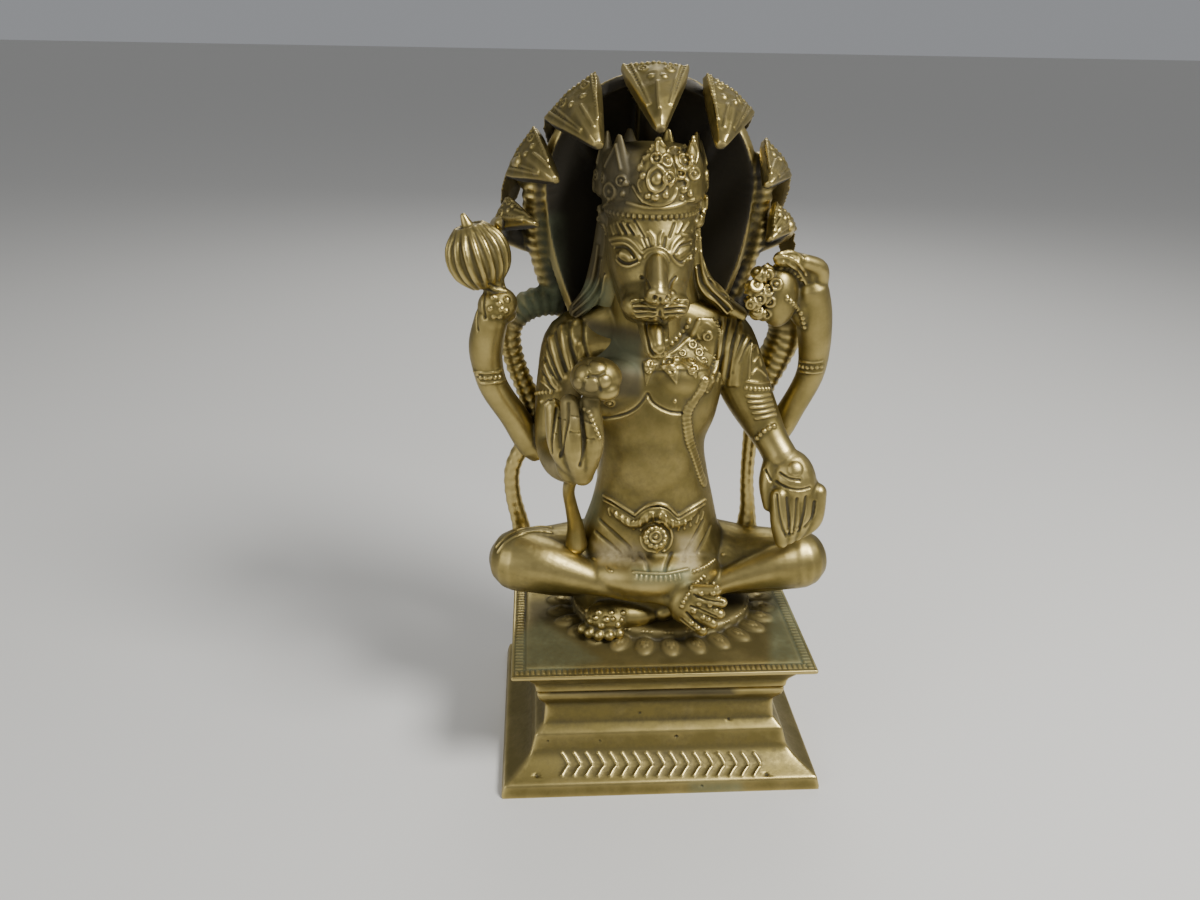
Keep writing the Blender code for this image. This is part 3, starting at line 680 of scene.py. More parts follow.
def crown(form):
    """A flared cap with a bead band, pointed leaves round its rim and a front rosette."""
    trunk(form, [(181, -9.4, -10.5, 17.2, 18.8), (184.5, -9.4, -10.5, 18.2, 19.6),
                 (190, -9.2, -10, 18.4, 19.2), (198, -9, -9, 19.2, 19), (203, -9, -8.5, 18, 17.6),
                 (206, -9, -8, 11, 11)], sides=48)
    for around in turns(CROWN_PLATES, start=-math.pi / 2):
        root_x = CROWN_MIDDLE[0] + CROWN_LEAF_REACH * math.cos(around)
        root_y = CROWN_MIDDLE[1] + CROWN_LEAF_REACH * math.sin(around)
        limb(form, [(root_x, root_y, 190, 7.4), (root_x, root_y, 198, 6.6),
                    (root_x, root_y, 204, 3.8), (root_x, root_y, 209.6, 1.3)], flat=0.6,
             across=(-math.sin(around), math.cos(around), 0))
    ball(form, (-10, -28, 193.5), (5.4, 3, 5.4))


def hair(form):
    """Locks that part at the ears and spread over the shoulders."""
    for index in range(3):
        drop = index * 3.2
        limb(form, [(-25 + drop, -4 + drop, 180, 3.6), (-27.5 + drop, -3 + drop, 162, 3.8),
                    (-30.5 + drop, -2 + drop, 149, 4), (-36 + drop, 0 + drop, 141, 3.6)])
        limb(form, [(6 - drop, -4 + drop, 180, 3.6), (9 - drop, -4 + drop, 164, 3.6),
                    (14 - drop, -3 + drop, 153, 3.8), (23 - drop, -1 + drop, 144, 3.6),
                    (30 - drop, 1 + drop, 139, 3.2)])
    trunk(form, [(128, -7, 8, 24, 8), (138, -7.4, 6, 23.5, 10), (148, -8.5, 1, 21, 13),
                 (160, -9.4, -2, 19, 14), (174, -9.5, 0, 18, 14), (188, -9.8, 2, 15, 12)])


def belt(form):
    """The belt, that dips to a point on each side of the middle, and its medallion."""
    limb(form, [(-25, 1, 61, 1.5), (-20, -13, 57.5, 2.2), (-12, -17.4, 53, 2.3),
                (-3.6, -18.6, 59.5, 2.3), (5, -17.4, 53, 2.3), (14, -13, 57.5, 2.2),
                (19, 1, 61, 1.5)], flat=0.7)
    ball(form, (-4, -20.5, 47.6), (6.4, 3, 6.4), (-10, 0, 0))


def serpent_path(left):
    """The serpent's body from the hood's rim, out behind the hand and down to the lap."""
    if left:
        return [(-36, 20, 139, 7), (-48, 16, 141, 6.4), (-58, 14, 138, 6), (-63.5, 12, 130, 5),
                (-62, 12, 117, 4.4), (-56.5, 11, 102, 4.4), (-53, 10, 90, 4.6),
                (-58.5, 10, 79, 3.8), (-63.5, 11, 67, 3.6), (-63.5, 11, 54, 3.6),
                (-60.5, 11, 40, 4), (-59, 10, 30, 5)]
    return [(30, 20, 139, 7), (42, 17, 141, 6.4), (50, 15, 138, 7), (53, 14, 128, 7.4),
            (49, 14, 116, 7), (44, 13, 103, 5.8), (42.5, 13, 90, 4.4), (41.5, 13, 76, 3.4),
            (41.5, 13, 60, 3.2), (43, 13, 44, 3.8), (43, 12, 30, 6)]


# A hood head's shape: share of its length from rear edge to snout, of its width and thickness.
HEAD_STATIONS = ((-0.4, 0.45, 0.9), (-0.16, 0.85, 0.9), (0.0, 1.0, 0.62), (0.2, 0.88, 0.9),
                 (0.45, 0.64, 1.05), (0.7, 0.4, 1.0), (0.9, 0.22, 0.8), (1.0, 0.12, 0.45))
NAPE_DROP = 52
HEAD_SIDES = 6


def cobra_head(form, inner, outer, tip):
    """One hood head: a shield between its two rear corners that narrows to a snout."""
    start, end = (Vector(inner) + Vector(outer)) / 2, Vector(tip)
    along = (end - start).normalized()
    across = Vector(inner) - Vector(outer)
    half_width = across.length / 2 + 0.6
    across = (across - along * across.dot(along)).normalized()
    thickness = 0.16 * half_width + 2.4
    frames = []
    for share, wide, thick in HEAD_STATIONS:
        nape = Vector((0, 0, NAPE_DROP * min(share, 0)))
        frames.append(
            Matrix.Translation(place(*(start + (end - start) * share + nape)))
            @ Matrix((across, along.cross(across), along)).transposed().to_4x4()
            @ Matrix.Diagonal((half_width * wide * STEP, thickness * thick * STEP, 1, 1)))
    merge(form, loft(frames, HEAD_SIDES))


# The hood's seven heads from the middle outwards: inner and outer rear corner, then snout.
HEADS = [((-22.3, 2, 231.6), (6, 2, 231.6), (-8.6, -26, 212.5)),
         ((-28.6, 2, 230.4), (-49.4, 4, 212), (-30, -25, 206.8)),
         ((9.4, 2, 230.4), (31, 4, 215), (13.2, -25, 207.2)),
         ((-51.6, 6, 211), (-63.6, 5, 191), (-45, -19, 194)),
         ((34.6, 6, 207.4), (47, 5, 192), (32.6, -19, 193)),
         ((-62, 6, 184.4), (-69.4, 5, 172), (-52, -13, 177.2)),
         ((41, 6, 183.4), (51.4, 5, 172), (36.8, -11, 171.4))]


def cobra_heads(form):
    for inner, outer, tip in HEADS:
        cobra_head(form, inner, outer, tip)


HOOD_MIDDLE = -8.2
HOOD_HALF_WIDTH = 43
HOOD_FOOT = 126
HOOD_SPRING = 188
HOOD_FRONT = 6
HOOD_HOLLOW = 19
HOOD_WALL = 5
NECKS_MEET = Vector((-6, 27, 132))

# How far behind its head a neck starts and how far it bows back: its middle line, and its scales.
NECK_LINE = (6, 13)
NECK_SCALES = (12, 15)

# The dark inside of the hood, partly soot and partly painted shade, lies on what faces an upright axis
# at this y, and fades in above the foot.
SHADE_AND_SOOT_AXIS = -14
SHADE_AND_SOOT_FADE = 14


def hood_shell(form):
    """A wall that rises straight to its spring line, closes in a half circle and bows back."""
    bm = bmesh.new()
    bmesh.ops.create_grid(bm, x_segments=48, y_segments=64, size=1.0)
    for vert in bm.verts:
        across, rise = vert.co.x, (vert.co.y + 1) / 2
        if rise < 0.5:
            level = HOOD_FOOT + (HOOD_SPRING - HOOD_FOOT) * rise * 2
            reach = HOOD_HALF_WIDTH * (0.62 + 0.38 * math.sin(math.pi * rise))
        else:
            turn = (rise - 0.5) * math.pi * 0.94
            level = HOOD_SPRING + HOOD_HALF_WIDTH * math.sin(turn)
            reach = HOOD_HALF_WIDTH * math.cos(turn)
        hollow = HOOD_HOLLOW * math.cos(across * math.pi / 2) * (0.35 + 0.65 * reach / HOOD_HALF_WIDTH)
        vert.co = place(HOOD_MIDDLE + across * reach, HOOD_FRONT + hollow, level)
    bmesh.ops.recalc_face_normals(bm, faces=bm.faces)
    bmesh.ops.solidify(bm, geom=bm.faces, thickness=-HOOD_WALL * STEP)
    merge(form, bm)


def neck(inner, outer, back, bow):
    """Where a head's neck starts behind it and where it bows back most, on its way down."""
    start = (Vector(inner) + Vector(outer)) / 2 + Vector((0, back, -7))
    half = (Vector(inner) - Vector(outer)).length / 2
    return start, start.lerp(NECKS_MEET, 0.45) + Vector((0, bow - half / 3, 4))


def hood_edge(side):
    """The roll along one edge of the hood, from the side heads down to the back."""
    points = ((0, 8, 196, 6), (0, 10, 180, 6.4), (2, 13, 164, 6.4), (6, 16, 150, 6.6),
              (13, 20, 139, 7))
    return [(HOOD_MIDDLE + side * (HOOD_HALF_WIDTH - inset), back, level, radius)
            for inset, back, level, radius in points]


def hood_back(form):
    """The hood's wall, the necks that climb its back and the serpent's body."""
    hood_shell(form)
    for inner, outer, _ in HEADS:
        start, middle = neck(inner, outer, *NECK_LINE)
        nape = start + Vector((0, -12, 4))
        limb(form, [(*nape, 3), (*start, 5), (*start.lerp(middle, 0.35), 5.6), (*middle, 5),
                    (*NECKS_MEET, 4)])
    for side in (-1, 1):
        limb(form, hood_edge(side))
    limb(form, serpent_path(True))
    limb(form, serpent_path(False))
    trunk(form, [(20, -4, 22, 26, 10), (60, -4, 18, 22, 8), (100, -5, 16, 25, 9),
                 (130, -7, 18, 26, 10), (146, -8, 20, 20, 8)])


def stepped_rings(levels, depth_difference):
    """Frames of four-sided rings for half widths and heights; the depth follows the width."""
    diagonal = math.sqrt(2)
    frames = []
    for half_width, height in levels:
        frames.append(Matrix.Translation((0, 0, height))
                      @ Matrix.Diagonal((half_width * diagonal,
                                         (half_width - depth_difference) * diagonal, 1, 1))
                      @ Matrix.Rotation(math.pi / 4, 4, "Z"))
    return frames


# Pedestal, from the floor up: each step's inset from the one below and its height.
FLARE_INSET = 12 * MM
FLARE_STEP = 1
FLARE_PARTS = 12
FLARE_BEND = 1.7
PEDESTAL_STEPS = ((1.4 * MM, 5.5 * MM), (FLARE_INSET, 9.5 * MM), (1.7 * MM, 6.4 * MM),
                  (3.7 * MM, 3.6 * MM), (0.7 * MM, 9.2 * MM), (-3.1 * MM, 4.7 * MM),
                  (-0.7 * MM, 3.8 * MM))
BASE_HALF = PEDESTAL_HIGH.x
DEPTH_DIFFERENCE = PEDESTAL_HIGH.x - PEDESTAL_HIGH.y


def pedestal_form(form):
    half, height = BASE_HALF, 0.0
    levels = [(half, height)]
    for index, (inset, rise) in enumerate(PEDESTAL_STEPS):
        if index == FLARE_STEP:
            for part in range(1, FLARE_PARTS):
                share = part / FLARE_PARTS
                levels.append((half - FLARE_INSET * (1 - (1 - share) ** FLARE_BEND),
                               height + rise * share))
        half, height = half - inset, height + rise
        levels.append((half, height))
    merge(form, loft(stepped_rings(levels, DEPTH_DIFFERENCE), 4))


SEAT_FOOT_HALF = BASE_HALF - sum(inset for inset, rise in PEDESTAL_STEPS)
SLAB_OVERHANG = 10.5 * MM
SLAB_HALF_X = SEAT_FOOT_HALF + SLAB_OVERHANG
SLAB_HALF_Y = SLAB_HALF_X - DEPTH_DIFFERENCE
PETALS = 26

# The cushion and the ring of petals, in grid steps: their middle, and half widths and depths.
CUSHION_MIDDLE = 4
CUSHION_HALF = (41, 29)
PETAL_RING = (46.5, 34.5)
PETAL_ROOTS = (42, 30)
PETAL_RIB_PITCH = 1.7

# How far in from the slab's edge its two border lines and the hatching between them lie, in steps.
SLAB_LINES = (1.4, 5.6)
SLAB_HATCH = 3.5


def seat_form(form):
    """The seat's slab, its round cushion and the ring of petals around it."""
    half = SEAT_FOOT_HALF
    low = FIGURE_LOW.z
    merge(form, loft(stepped_rings([
        (half, low), (half + 0.8 * MM, low + 4.6 * MM), (half + 5.1 * MM, low + 11.2 * MM),
        (SLAB_HALF_X, low + 14 * MM), (SLAB_HALF_X, low + 16 * MM)], DEPTH_DIFFERENCE), 4))
    frames = []
    for share, height in ((1.0, -4.0), (1.0, 2.0), (0.98, 2.6), (0.99, 3.3), (0.94, 4.4)):
        frames.append(Matrix.Translation(place(CUSHION_MIDDLE, CUSHION_MIDDLE, height))
                      @ Matrix.Diagonal((CUSHION_HALF[0] * STEP * share,
                                         CUSHION_HALF[1] * STEP * share, 1, 1)))
    merge(form, loft(frames, 96))
    for around in turns(PETALS, 0.5):
        out = (math.cos(around), math.sin(around))
        reach = (CUSHION_MIDDLE + out[0] * PETAL_RING[0], CUSHION_MIDDLE + out[1] * PETAL_RING[1], 0)
        ball(form, reach, (6.8, 4.3, 1.8), (0, 0, math.degrees(around)))


def add_node(tree, kind, links=(), **settings):
    """A shader node with its settings; links pair an input with an output socket or a value."""
    node = tree.nodes.new(kind)
    for name, value in settings.items():
        setattr(node, name, value)
    for socket, source in links:
        if isinstance(source, bpy.types.NodeSocket):
            tree.links.new(source, node.inputs[socket])
        else:
            node.inputs[socket].default_value = source
    return node


# The finish's patterns: patches that handling leaves, spots of film, and the casting sand's grain,
# which is drawn about twice as coarse as it is, so that it shows.
PATCHES = 14 * MM
SPOTS = 2.2 * MM
SAND_GRAIN = 0.7 * MM
GRAIN_DEPTH = 0.15 * MM


def brass_material(name, colours, shine):
    """Sand-cast brass, filed, rubbed by hands and never lacquered.

    High places are bright and warm, broad faces are dull olive-gold under a thin brown film,
    and hollows hold nearly black film, with grey-green verdigris where water has stood.
    The same nearly black colour is also painted as shade and shadow where a piece's dark tint lays it.
    """
    material = bpy.data.materials.new(name)
    material.use_nodes = True
    tree = material.node_tree
    tree.nodes.clear()

    def colour(choice):
        return (*getattr(colours, choice), 1.0)

    def value(name):
        return add_node(tree, "ShaderNodeAttribute", attribute_name=name).outputs["Fac"]

    def reckon(operation, *sources, clamp=False):
        return add_node(tree, "ShaderNodeMath", list(enumerate(sources)), operation=operation,
                        use_clamp=clamp).outputs[0]

    def blend(share, first, second):
        node = add_node(tree, "ShaderNodeMix", [(0, share), (6, first), (7, second)],
                        data_type="RGBA")
        return node.outputs[2]

    spot = add_node(tree, "ShaderNodeTexCoord").outputs["Object"]
    mottle = add_node(tree, "ShaderNodeTexNoise", [("Vector", spot), ("Scale", 1 / PATCHES),
                                                   ("Detail", 6.0), ("Roughness", 0.6)]).outputs[0]
    speckle = add_node(tree, "ShaderNodeTexNoise", [("Vector", spot), ("Scale", 1 / SPOTS),
                                                    ("Detail", 4.0), ("Roughness", 0.65)]).outputs[0]
    sand = add_node(tree, "ShaderNodeTexNoise", [("Vector", spot), ("Scale", 1 / SAND_GRAIN),
                                                 ("Detail", 3.0)]).outputs[0]
    hollow = value("hollow")
    patchy = reckon("MULTIPLY_ADD", mottle, 0.5, reckon("MULTIPLY", speckle, 0.5))
    film_and_shade = reckon("MULTIPLY_ADD", hollow, 0.9, reckon("MULTIPLY_ADD", patchy, 1.6, -0.72),
                  clamp=True)
    film_and_shade = reckon("MULTIPLY", film_and_shade, 0.82)
    # The piece's own dark tint adds painted shade and shadow, and the soot in the hood, in the same
    # colour.
    film_and_shade = reckon("MAXIMUM", film_and_shade, value("film_and_shade"))
    rub = reckon("MULTIPLY_ADD", hollow, -1.0, reckon("MULTIPLY_ADD", mottle, 1.2, -0.55))
    rub = reckon("ADD", rub, value("rub"), clamp=True)
    green = reckon("MULTIPLY", value("green"), reckon("MULTIPLY_ADD", patchy, 2.2, -0.25),
                   clamp=True)
    chalk = reckon("MULTIPLY", value("chalk"), reckon("MULTIPLY_ADD", speckle, 1.6, 0.1),
                   clamp=True)
    tone = blend(rub, colour("worn"), colour("bright"))
    tone = blend(reckon("MULTIPLY", film_and_shade, 0.97), tone, colour("film_and_shade"))
    tone = blend(green, tone, colour("verdigris"))
    tone = blend(chalk, tone, colour("deposit"))
    crust = reckon("MAXIMUM", green, chalk)
    metal = reckon("SUBTRACT", 1.0, reckon("MAXIMUM", reckon("MULTIPLY", film_and_shade, 0.85),
                                           reckon("MULTIPLY", crust, 0.9)))
    rough = reckon("MULTIPLY_ADD", film_and_shade, 0.24, reckon("MULTIPLY_ADD", speckle, 0.16, 0.37))
    rough = reckon("SUBTRACT", rough, reckon("MULTIPLY", rub, shine))
    rough = reckon("MULTIPLY_ADD", crust, 0.3, rough, clamp=True)
    height = reckon("MULTIPLY_ADD", sand, 0.4, reckon("MULTIPLY_ADD", speckle, 0.8,
                                                      reckon("MULTIPLY", crust, 0.5)))
    bump = add_node(tree, "ShaderNodeBump", [("Strength", 0.35), ("Distance", GRAIN_DEPTH),
                                             ("Height", height)])
    shader = add_node(tree, "ShaderNodeBsdfPrincipled", [
        ("Base Color", tone), ("Metallic", metal), ("Roughness", rough),
        ("Normal", bump.outputs[0])])
    add_node(tree, "ShaderNodeOutputMaterial", [("Surface", shader.outputs[0])])
    return material


class StatueColours(bpy.types.PropertyGroup):
    """Colours of the brass and of what lies on it."""

    bright: bpy.props.FloatVectorProperty(
        name="Bright brass", description="Edges and high places that hands have rubbed",
        subtype="COLOR", size=3, min=0, max=1, default=linear("BEAB6E"))
    worn: bpy.props.FloatVectorProperty(
        name="Worn brass", description="Broad faces under a thin brown film",
        subtype="COLOR", size=3, min=0, max=1, default=linear("7D7041"))
    # This nearly black colour also paints shade and shadow where a piece's dark tint lays it.
    film_and_shade: bpy.props.FloatVectorProperty(
        name="Dark film", description="Old oil and soot in the hollows",
        subtype="COLOR", size=3, min=0, max=1, default=linear("1D1910"))
    verdigris: bpy.props.FloatVectorProperty(
        name="Verdigris", description="Grey-green crust where water has stood",
        subtype="COLOR", size=3, min=0, max=1, default=linear("707A5E"))
    deposit: bpy.props.FloatVectorProperty(
        name="Deposit", description="Pale dried powder on the lap",
        subtype="COLOR", size=3, min=0, max=1, default=linear("B5A67E"))
    floor: bpy.props.FloatVectorProperty(
        name="Floor", description="Plain pale floor under the statue",
        subtype="COLOR", size=3, min=0, max=1, default=linear("D8D6D0"))


class StatueSizes(bpy.types.PropertyGroup):
    """Cell sizes of the fused skins, the finish's shine and the floor's reach."""

    fine: bpy.props.FloatProperty(
        name="Fine grain", description="Cells on the head, in grid steps",
        default=0.36, min=0.3, max=2)
    medium: bpy.props.FloatProperty(
        name="Medium grain",
        description="Cells on the body, the arms and the cobra heads, in grid steps",
        default=0.48, min=0.4, max=2)
    broad: bpy.props.FloatProperty(
        name="Broad grain", description="Cells on the hood's wall and the serpent, in grid steps",
        default=0.85, min=0.5, max=3)
    square: bpy.props.FloatProperty(
        name="Square grain", description="Cells on the seat and the pedestal, in grid steps",
        default=0.58, min=0.4, max=3)
    shine: bpy.props.FloatProperty(
        name="Shine", description="How much smoother a rubbed place is than a dull one",
        default=0.12, min=0, max=0.3)
    floor_reach: bpy.props.FloatProperty(
        name="Floor reach", description="Half the floor's side", default=20, min=1,
        unit="LENGTH")


def brass():
    """The one brass of the two castings, made when first asked for."""
    name = "cast and hand-rubbed brass"
    scene = bpy.context.scene
    return bpy.data.materials.get(name) or brass_material(
        name, scene.statue_colours, scene.statue_sizes.shine)


# The most triangles in each piece's finished mesh.
TRIANGLES = {"pedestal_casting": 60000, "lotus_seat": 90000, "body": 190000, "head": 190000,
             "right_arms": 110000, "left_arms": 110000, "serpent": 110000, "cobra_heads": 110000}


def cast(name, builds, grain, carve, node="figure"):
    """Fuse and carve a piece, give it the brass, hang it on the body's empty and hide the part of the
    model that it replaces.
    """
    form = bmesh.new()
    for build in builds:
        build(form)
    skin = Skin(name, form, grain)
    carve(skin)
    item = skin.finish(brass(), TRIANGLES[name])
    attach(item, BODY)
    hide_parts(node)


# Lines and spots of the face and hair, as pixels of the photograph.
BROWS = (
    [(610, 239.4), (618.5, 237.6), (628.2, 238.8), (635.5, 244.2), (641.5, 251.5)],
    [(670.6, 251.5), (673, 244.2), (679, 237.6), (686.4, 235.2), (697.3, 236.4)],
)
LIDS = (
    [(612.4, 243.5), (622, 242.4), (629.4, 245.5), (635.5, 251.5), (639.7, 258.8)],
    [(672, 254.5), (676.7, 246), (682.7, 241), (690, 239), (696, 239.4)],
    [(616.7, 259.6), (622, 264.6), (629.4, 266.3), (637.9, 262.9)],
    [(670.6, 256), (676.7, 262.6), (682.7, 264.4), (690.5, 258.8), (695.6, 250)],
)
EYE_SLITS = (
    [(615, 247.4), (623.3, 246.9), (629.4, 250.5), (633.5, 257.6)],
    [(616.7, 257), (622, 262), (629.4, 263.6), (636.5, 261)],
    [(675.5, 252), (681.5, 245.7), (691.2, 243)],
    [(672.5, 255.5), (677.7, 260.4), (682.7, 261.6), (689, 256.6), (693.5, 249)],
)
EYEBALLS = ([(621, 253), (625.5, 255), (629.5, 258)], [(679.5, 254.5), (684.5, 251.3), (689, 248)])
NOSE_ARCHES = (
    [(643.5, 252.7), (648.8, 249), (656, 247.6), (663.3, 249), (669.4, 254)],
    [(645, 257), (650, 252.5), (656.7, 251.3), (663.3, 253.7), (668.2, 260)],
)
NOSE_BRIDGE = [(657.5, 258), (657.8, 270), (658.5, 288)]
NOSE_PAD = [(651, 293), (661.5, 294.5), (672, 293.5)]
NOSTRILS = ((655, 297.2), (667.4, 297.4))
LIP_CREASES = (
    [(660.2, 299), (660, 317)],
    [(641.5, 277), (646.4, 281.6), (648.8, 288)],
    [(676, 277), (671.5, 282), (670, 288)],
)

# The whisker rows on one lip: the first one's spots from the middle, and how far each next shifts.
LIP_MIDDLE = 660
WHISKER_ROWS = 4
WHISKER = ((5, 301.5), (17, 300.2), (28, 300.6))
WHISKER_SHIFT = ((0, 5.2), (0, 5.4), (-1.6, 5.4))
WHISKER_GAP = 2.7
MOUTH = [(636, 318.5), (646, 321), (659, 319.5), (673, 321), (685, 318.5)]
TONGUE_SIDES = (
    [(645.5, 323), (648, 336), (650.5, 349), (654, 355)],
    [(672.5, 323), (671, 336), (667.5, 349), (663, 355)],
)
TONGUE_LIP = [(649, 326), (651, 340), (654.5, 350), (658.5, 353), (663, 350), (667, 340), (669, 326)]
BROW_TUFTS = (
    [(611, 225.5), (613.5, 234)], [(617.5, 222.4), (622.5, 233.3)], [(623.3, 222.6), (629, 233.3)],
    [(630, 224.8), (637, 235)], [(648.8, 231.7), (653.7, 237), (654.4, 244.2)],
    [(662, 232.3), (659.6, 238), (659.7, 244.2)], [(682, 223.8), (677, 233.3)],
    [(689, 223), (683.4, 231.5)], [(696.2, 221.8), (691.8, 231)],
)
BROW_GROOVES = (
    [(634.2, 220.6), (639.4, 229.7), (644, 236.8)], [(674.6, 223.8), (669.6, 237)],
    [(642.7, 238.2), (646.4, 247)], [(647.8, 238.2), (650.2, 246.7)], [(665.5, 238), (664, 246.7)],
    [(620.2, 223.5), (626, 233.3)], [(614, 224.5), (618, 233.5)], [(626.8, 223.6), (633.4, 234)],
)
EARS = (
    [(594.8, 212.5), (598, 218), (603.5, 224.5), (606.5, 234)],
    [(708.6, 198.5), (706, 207), (701, 218), (698.5, 230)],
    [(709.6, 199.5), (710, 213), (706.5, 226), (703, 238)],
)
HAIR_RIDGES = (
    [(704, 238), (706.5, 256), (711, 274.5), (719.1, 286.7), (734.8, 296)],
    [(700, 252), (702.5, 270), (708, 283), (716.5, 293.5), (728, 303), (732, 309)],
    [(696.5, 268), (699.5, 284), (706, 294), (717, 302), (727, 313)],
)
HAIR_GROOVES = (
    [(702, 250), (705, 268), (710.5, 281.5), (719.5, 291), (733, 300)],
    [(698, 266), (701, 280), (708, 290.5), (717.5, 299), (728.5, 310)],
)

# A lock on the other side lies as far from the face's middle, and a little lower.
HAIR_MIRROR = 1302
HAIR_DROP = 8

# The crown's carving, as pixels of the photograph; a ringed spot has a radius in grid steps.
CROWN_LEAVES = (
    [(657.6, 135), (652.6, 145.5), (648, 152)], [(657.6, 135), (662.4, 144.2), (668, 151)],
    [(693.3, 141), (684.5, 146), (679, 153.2)], [(693.6, 141), (697, 153.2), (695.2, 163)],
    [(657.4, 142), (656.9, 155)], [(687, 149), (692, 156.5), (690, 163)],
    [(668.5, 150.5), (674, 147.8), (680, 150)], [(649, 155), (643, 161), (640, 170)],
)
CROWN_ROSETTE = [(650, 171.5), (647.6, 180), (650.4, 188.5), (657, 191), (663, 187.5), (665.4, 179.5),
                 (663, 170.5), (656.6, 166.8), (650, 171.5)]
CROWN_SCROLLS = (
    [(674.5, 156), (676.3, 164.5), (683, 171), (691.5, 169)],
    [(670, 186), (675.5, 180), (682, 178), (688, 182), (686, 189)],
    [(643.5, 176), (638.8, 183), (641, 191)], [(633, 186.3), (637.8, 194.5), (643, 200.6)],
    [(643, 200.6), (651, 204), (660, 204.8), (668.4, 202.3), (675, 196), (676.5, 189)],
)
CROWN_BOSSES = ((656.5, 179.2, 2.1), (645.3, 158.6, 1.3), (641, 167.8, 1.5), (643.2, 176, 1.4),
                (655, 197, 1.6), (665.9, 195, 1.4), (683.1, 190, 1.5), (690, 194, 1.2),
                (681.8, 197.8, 1.2), (647.5, 196, 1.3), (622.5, 194, 1.1), (626.3, 184, 1.1))
CROWN_RINGS = ((668.6, 178.2, 2), (666.8, 160.5, 2), (684.6, 160.8, 2.5), (694.6, 173.4, 2),
               (680.4, 173.4, 1.7), (656.6, 158.5, 1.8))

# The bead band round the crown's foot, in grid steps.
RIM_MIDDLE = (-9.4, -10.5)
RIM_HALF = (19, 20.5)
RIM_LEVEL = 182.6
RIM_SPOTS = 40
CROWN_BAND = [(627, 202.5), (638, 205.6), (651, 207.6), (668.4, 207.2), (681, 204), (694, 199.6)]


# Patina and painted shade: a tint, its outline in pixels of the photograph, its amount and its edge if
# not 12.
HEAD_STAINS_AND_SHADE = (
    # Painted shadow: the left side of the crown, face and hair, where the hood's shadow falls, is
    # darkened to nearly black.
    ("film_and_shade", [(575, 120), (645, 120), (638, 205), (612, 225), (600, 300), (600, 345), (560, 345)],
     0.8, 24),
    ("green", [(582, 281), (611, 281), (616, 330), (586, 330)], 0.6),
    ("green", [(612, 318), (640, 330), (646, 352), (614, 352)], 0.4),
    ("rub", [(650, 262), (666, 262), (672, 296), (648, 296)], 0.5, 8),
)


# Where creases between the forms are smoothed away: a path and distance in steps, and the rounds.
FACE_SOFT = ([(-9, -31, 167), (-9, -34, 160), (-9, -38, 153)], 17, 30)
BODY_SOFT = (([(-4, -20, 44), (-4, -19, 70), (-4, -18, 100)], 27, 45),
             ([(-24, -22, 28), (0, -26, 24), (22, -20, 28)], 15, 30),
             ([(-60, -4, 29)], 16, 40), ([(63, -4, 28)], 16, 40))


def carve_head(skin):
    """The face's lines, the ears, the locks and the crown's leaves, rosette and scrolls."""
    skin.soften(*FACE_SOFT)
    skin.draw(BROWS, 1.4, 0.6)
    skin.draw(LIDS, 1.0, 0.6)
    skin.draw(EYE_SLITS, 0.8, -0.7)
    skin.draw(EYEBALLS, 1.6, 0.5)
    skin.draw(NOSE_ARCHES, 1.1, 0.65)
    skin.draw([NOSE_BRIDGE], 3.2, 0.9)
    skin.draw([NOSE_PAD], 2.3, 0.9)
    for spot in skin.seen(NOSTRILS):
        skin.boss(spot, 1.1, -0.9)
    skin.draw(LIP_CREASES, 0.95, -0.8)
    for side in (-1, 1):
        whiskers = [[(LIP_MIDDLE + side * (out + out_shift * row), down + down_shift * row)
                     for (out, down), (out_shift, down_shift) in zip(WHISKER, WHISKER_SHIFT)]
                    for row in range(WHISKER_ROWS)]
        skin.draw(whiskers, 0.8, 0.6)
        skin.draw([[(across, down + WHISKER_GAP) for across, down in line] for line in whiskers],
                  0.6, -0.45)
    skin.draw([MOUTH], 1.4, -1.2)
    skin.draw(TONGUE_SIDES, 1.1, -0.9)
    skin.draw([TONGUE_LIP], 1.0, 0.6)
    skin.draw(BROW_TUFTS, 1.0, 0.45)
    skin.draw(BROW_GROOVES, 0.8, -0.5)
    skin.draw(EARS, 0.9, 0.7)
    for lines, height in ((HAIR_RIDGES, 0.75), (HAIR_GROOVES, -0.7)):
        skin.draw(lines, 1.0, height)
        skin.draw([[(HAIR_MIRROR - across, down + HAIR_DROP) for across, down in line]
                   for line in lines], 1.0, height)
    skin.draw(CROWN_LEAVES, 0.95, 0.85)
    skin.draw([CROWN_ROSETTE], 1.15, 0.9)
    skin.draw(CROWN_SCROLLS, 1.0, 0.75)
    skin.bosses(CROWN_BOSSES, 1.0)
    skin.rings(CROWN_RINGS, 0.9)
    skin.write()
    skin.draw([CROWN_BAND], 1.0, 0.6)
    rim = [(RIM_MIDDLE[0] + RIM_HALF[0] * math.cos(around),
            RIM_MIDDLE[1] + RIM_HALF[1] * math.sin(around), RIM_LEVEL)
           for around in (*turns(RIM_SPOTS), 2 * math.pi)]
    ring = skin.nearest(rim)
    skin.score(ring, 1.5, -0.5)
    skin.write()
    skin.beads(ring, 1.15, 2.3, 1.3)
    for around in turns(CROWN_PLATES, start=-math.pi / 2)[PLATES_IN_PHOTO:]:
        out = Vector((math.cos(around), math.sin(around), 0))
        middle = Vector((*CROWN_MIDDLE, 0)) + out * 20
        side = Vector((-out.y, out.x, 0))
        skin.ringed(skin.nearest([middle + Vector((0, 0, 191))])[0], 2.6, 0.9)
        for turn in (-1, 1):
            skin.ringed(skin.nearest([middle + side * 4.6 * turn + Vector((0, 0, 195))])[0], 1.7, 0.8)
            skin.score(skin.nearest([middle + side * 4 * turn + Vector((0, 0, 199)),
                                     middle + Vector((0, 0, 207))]), 0.9, 0.7)
    skin.write()
    # Verdigris, rubbed wear and the painted shadow on the head's left side.
    skin.stains_and_shade(HEAD_STAINS_AND_SHADE)


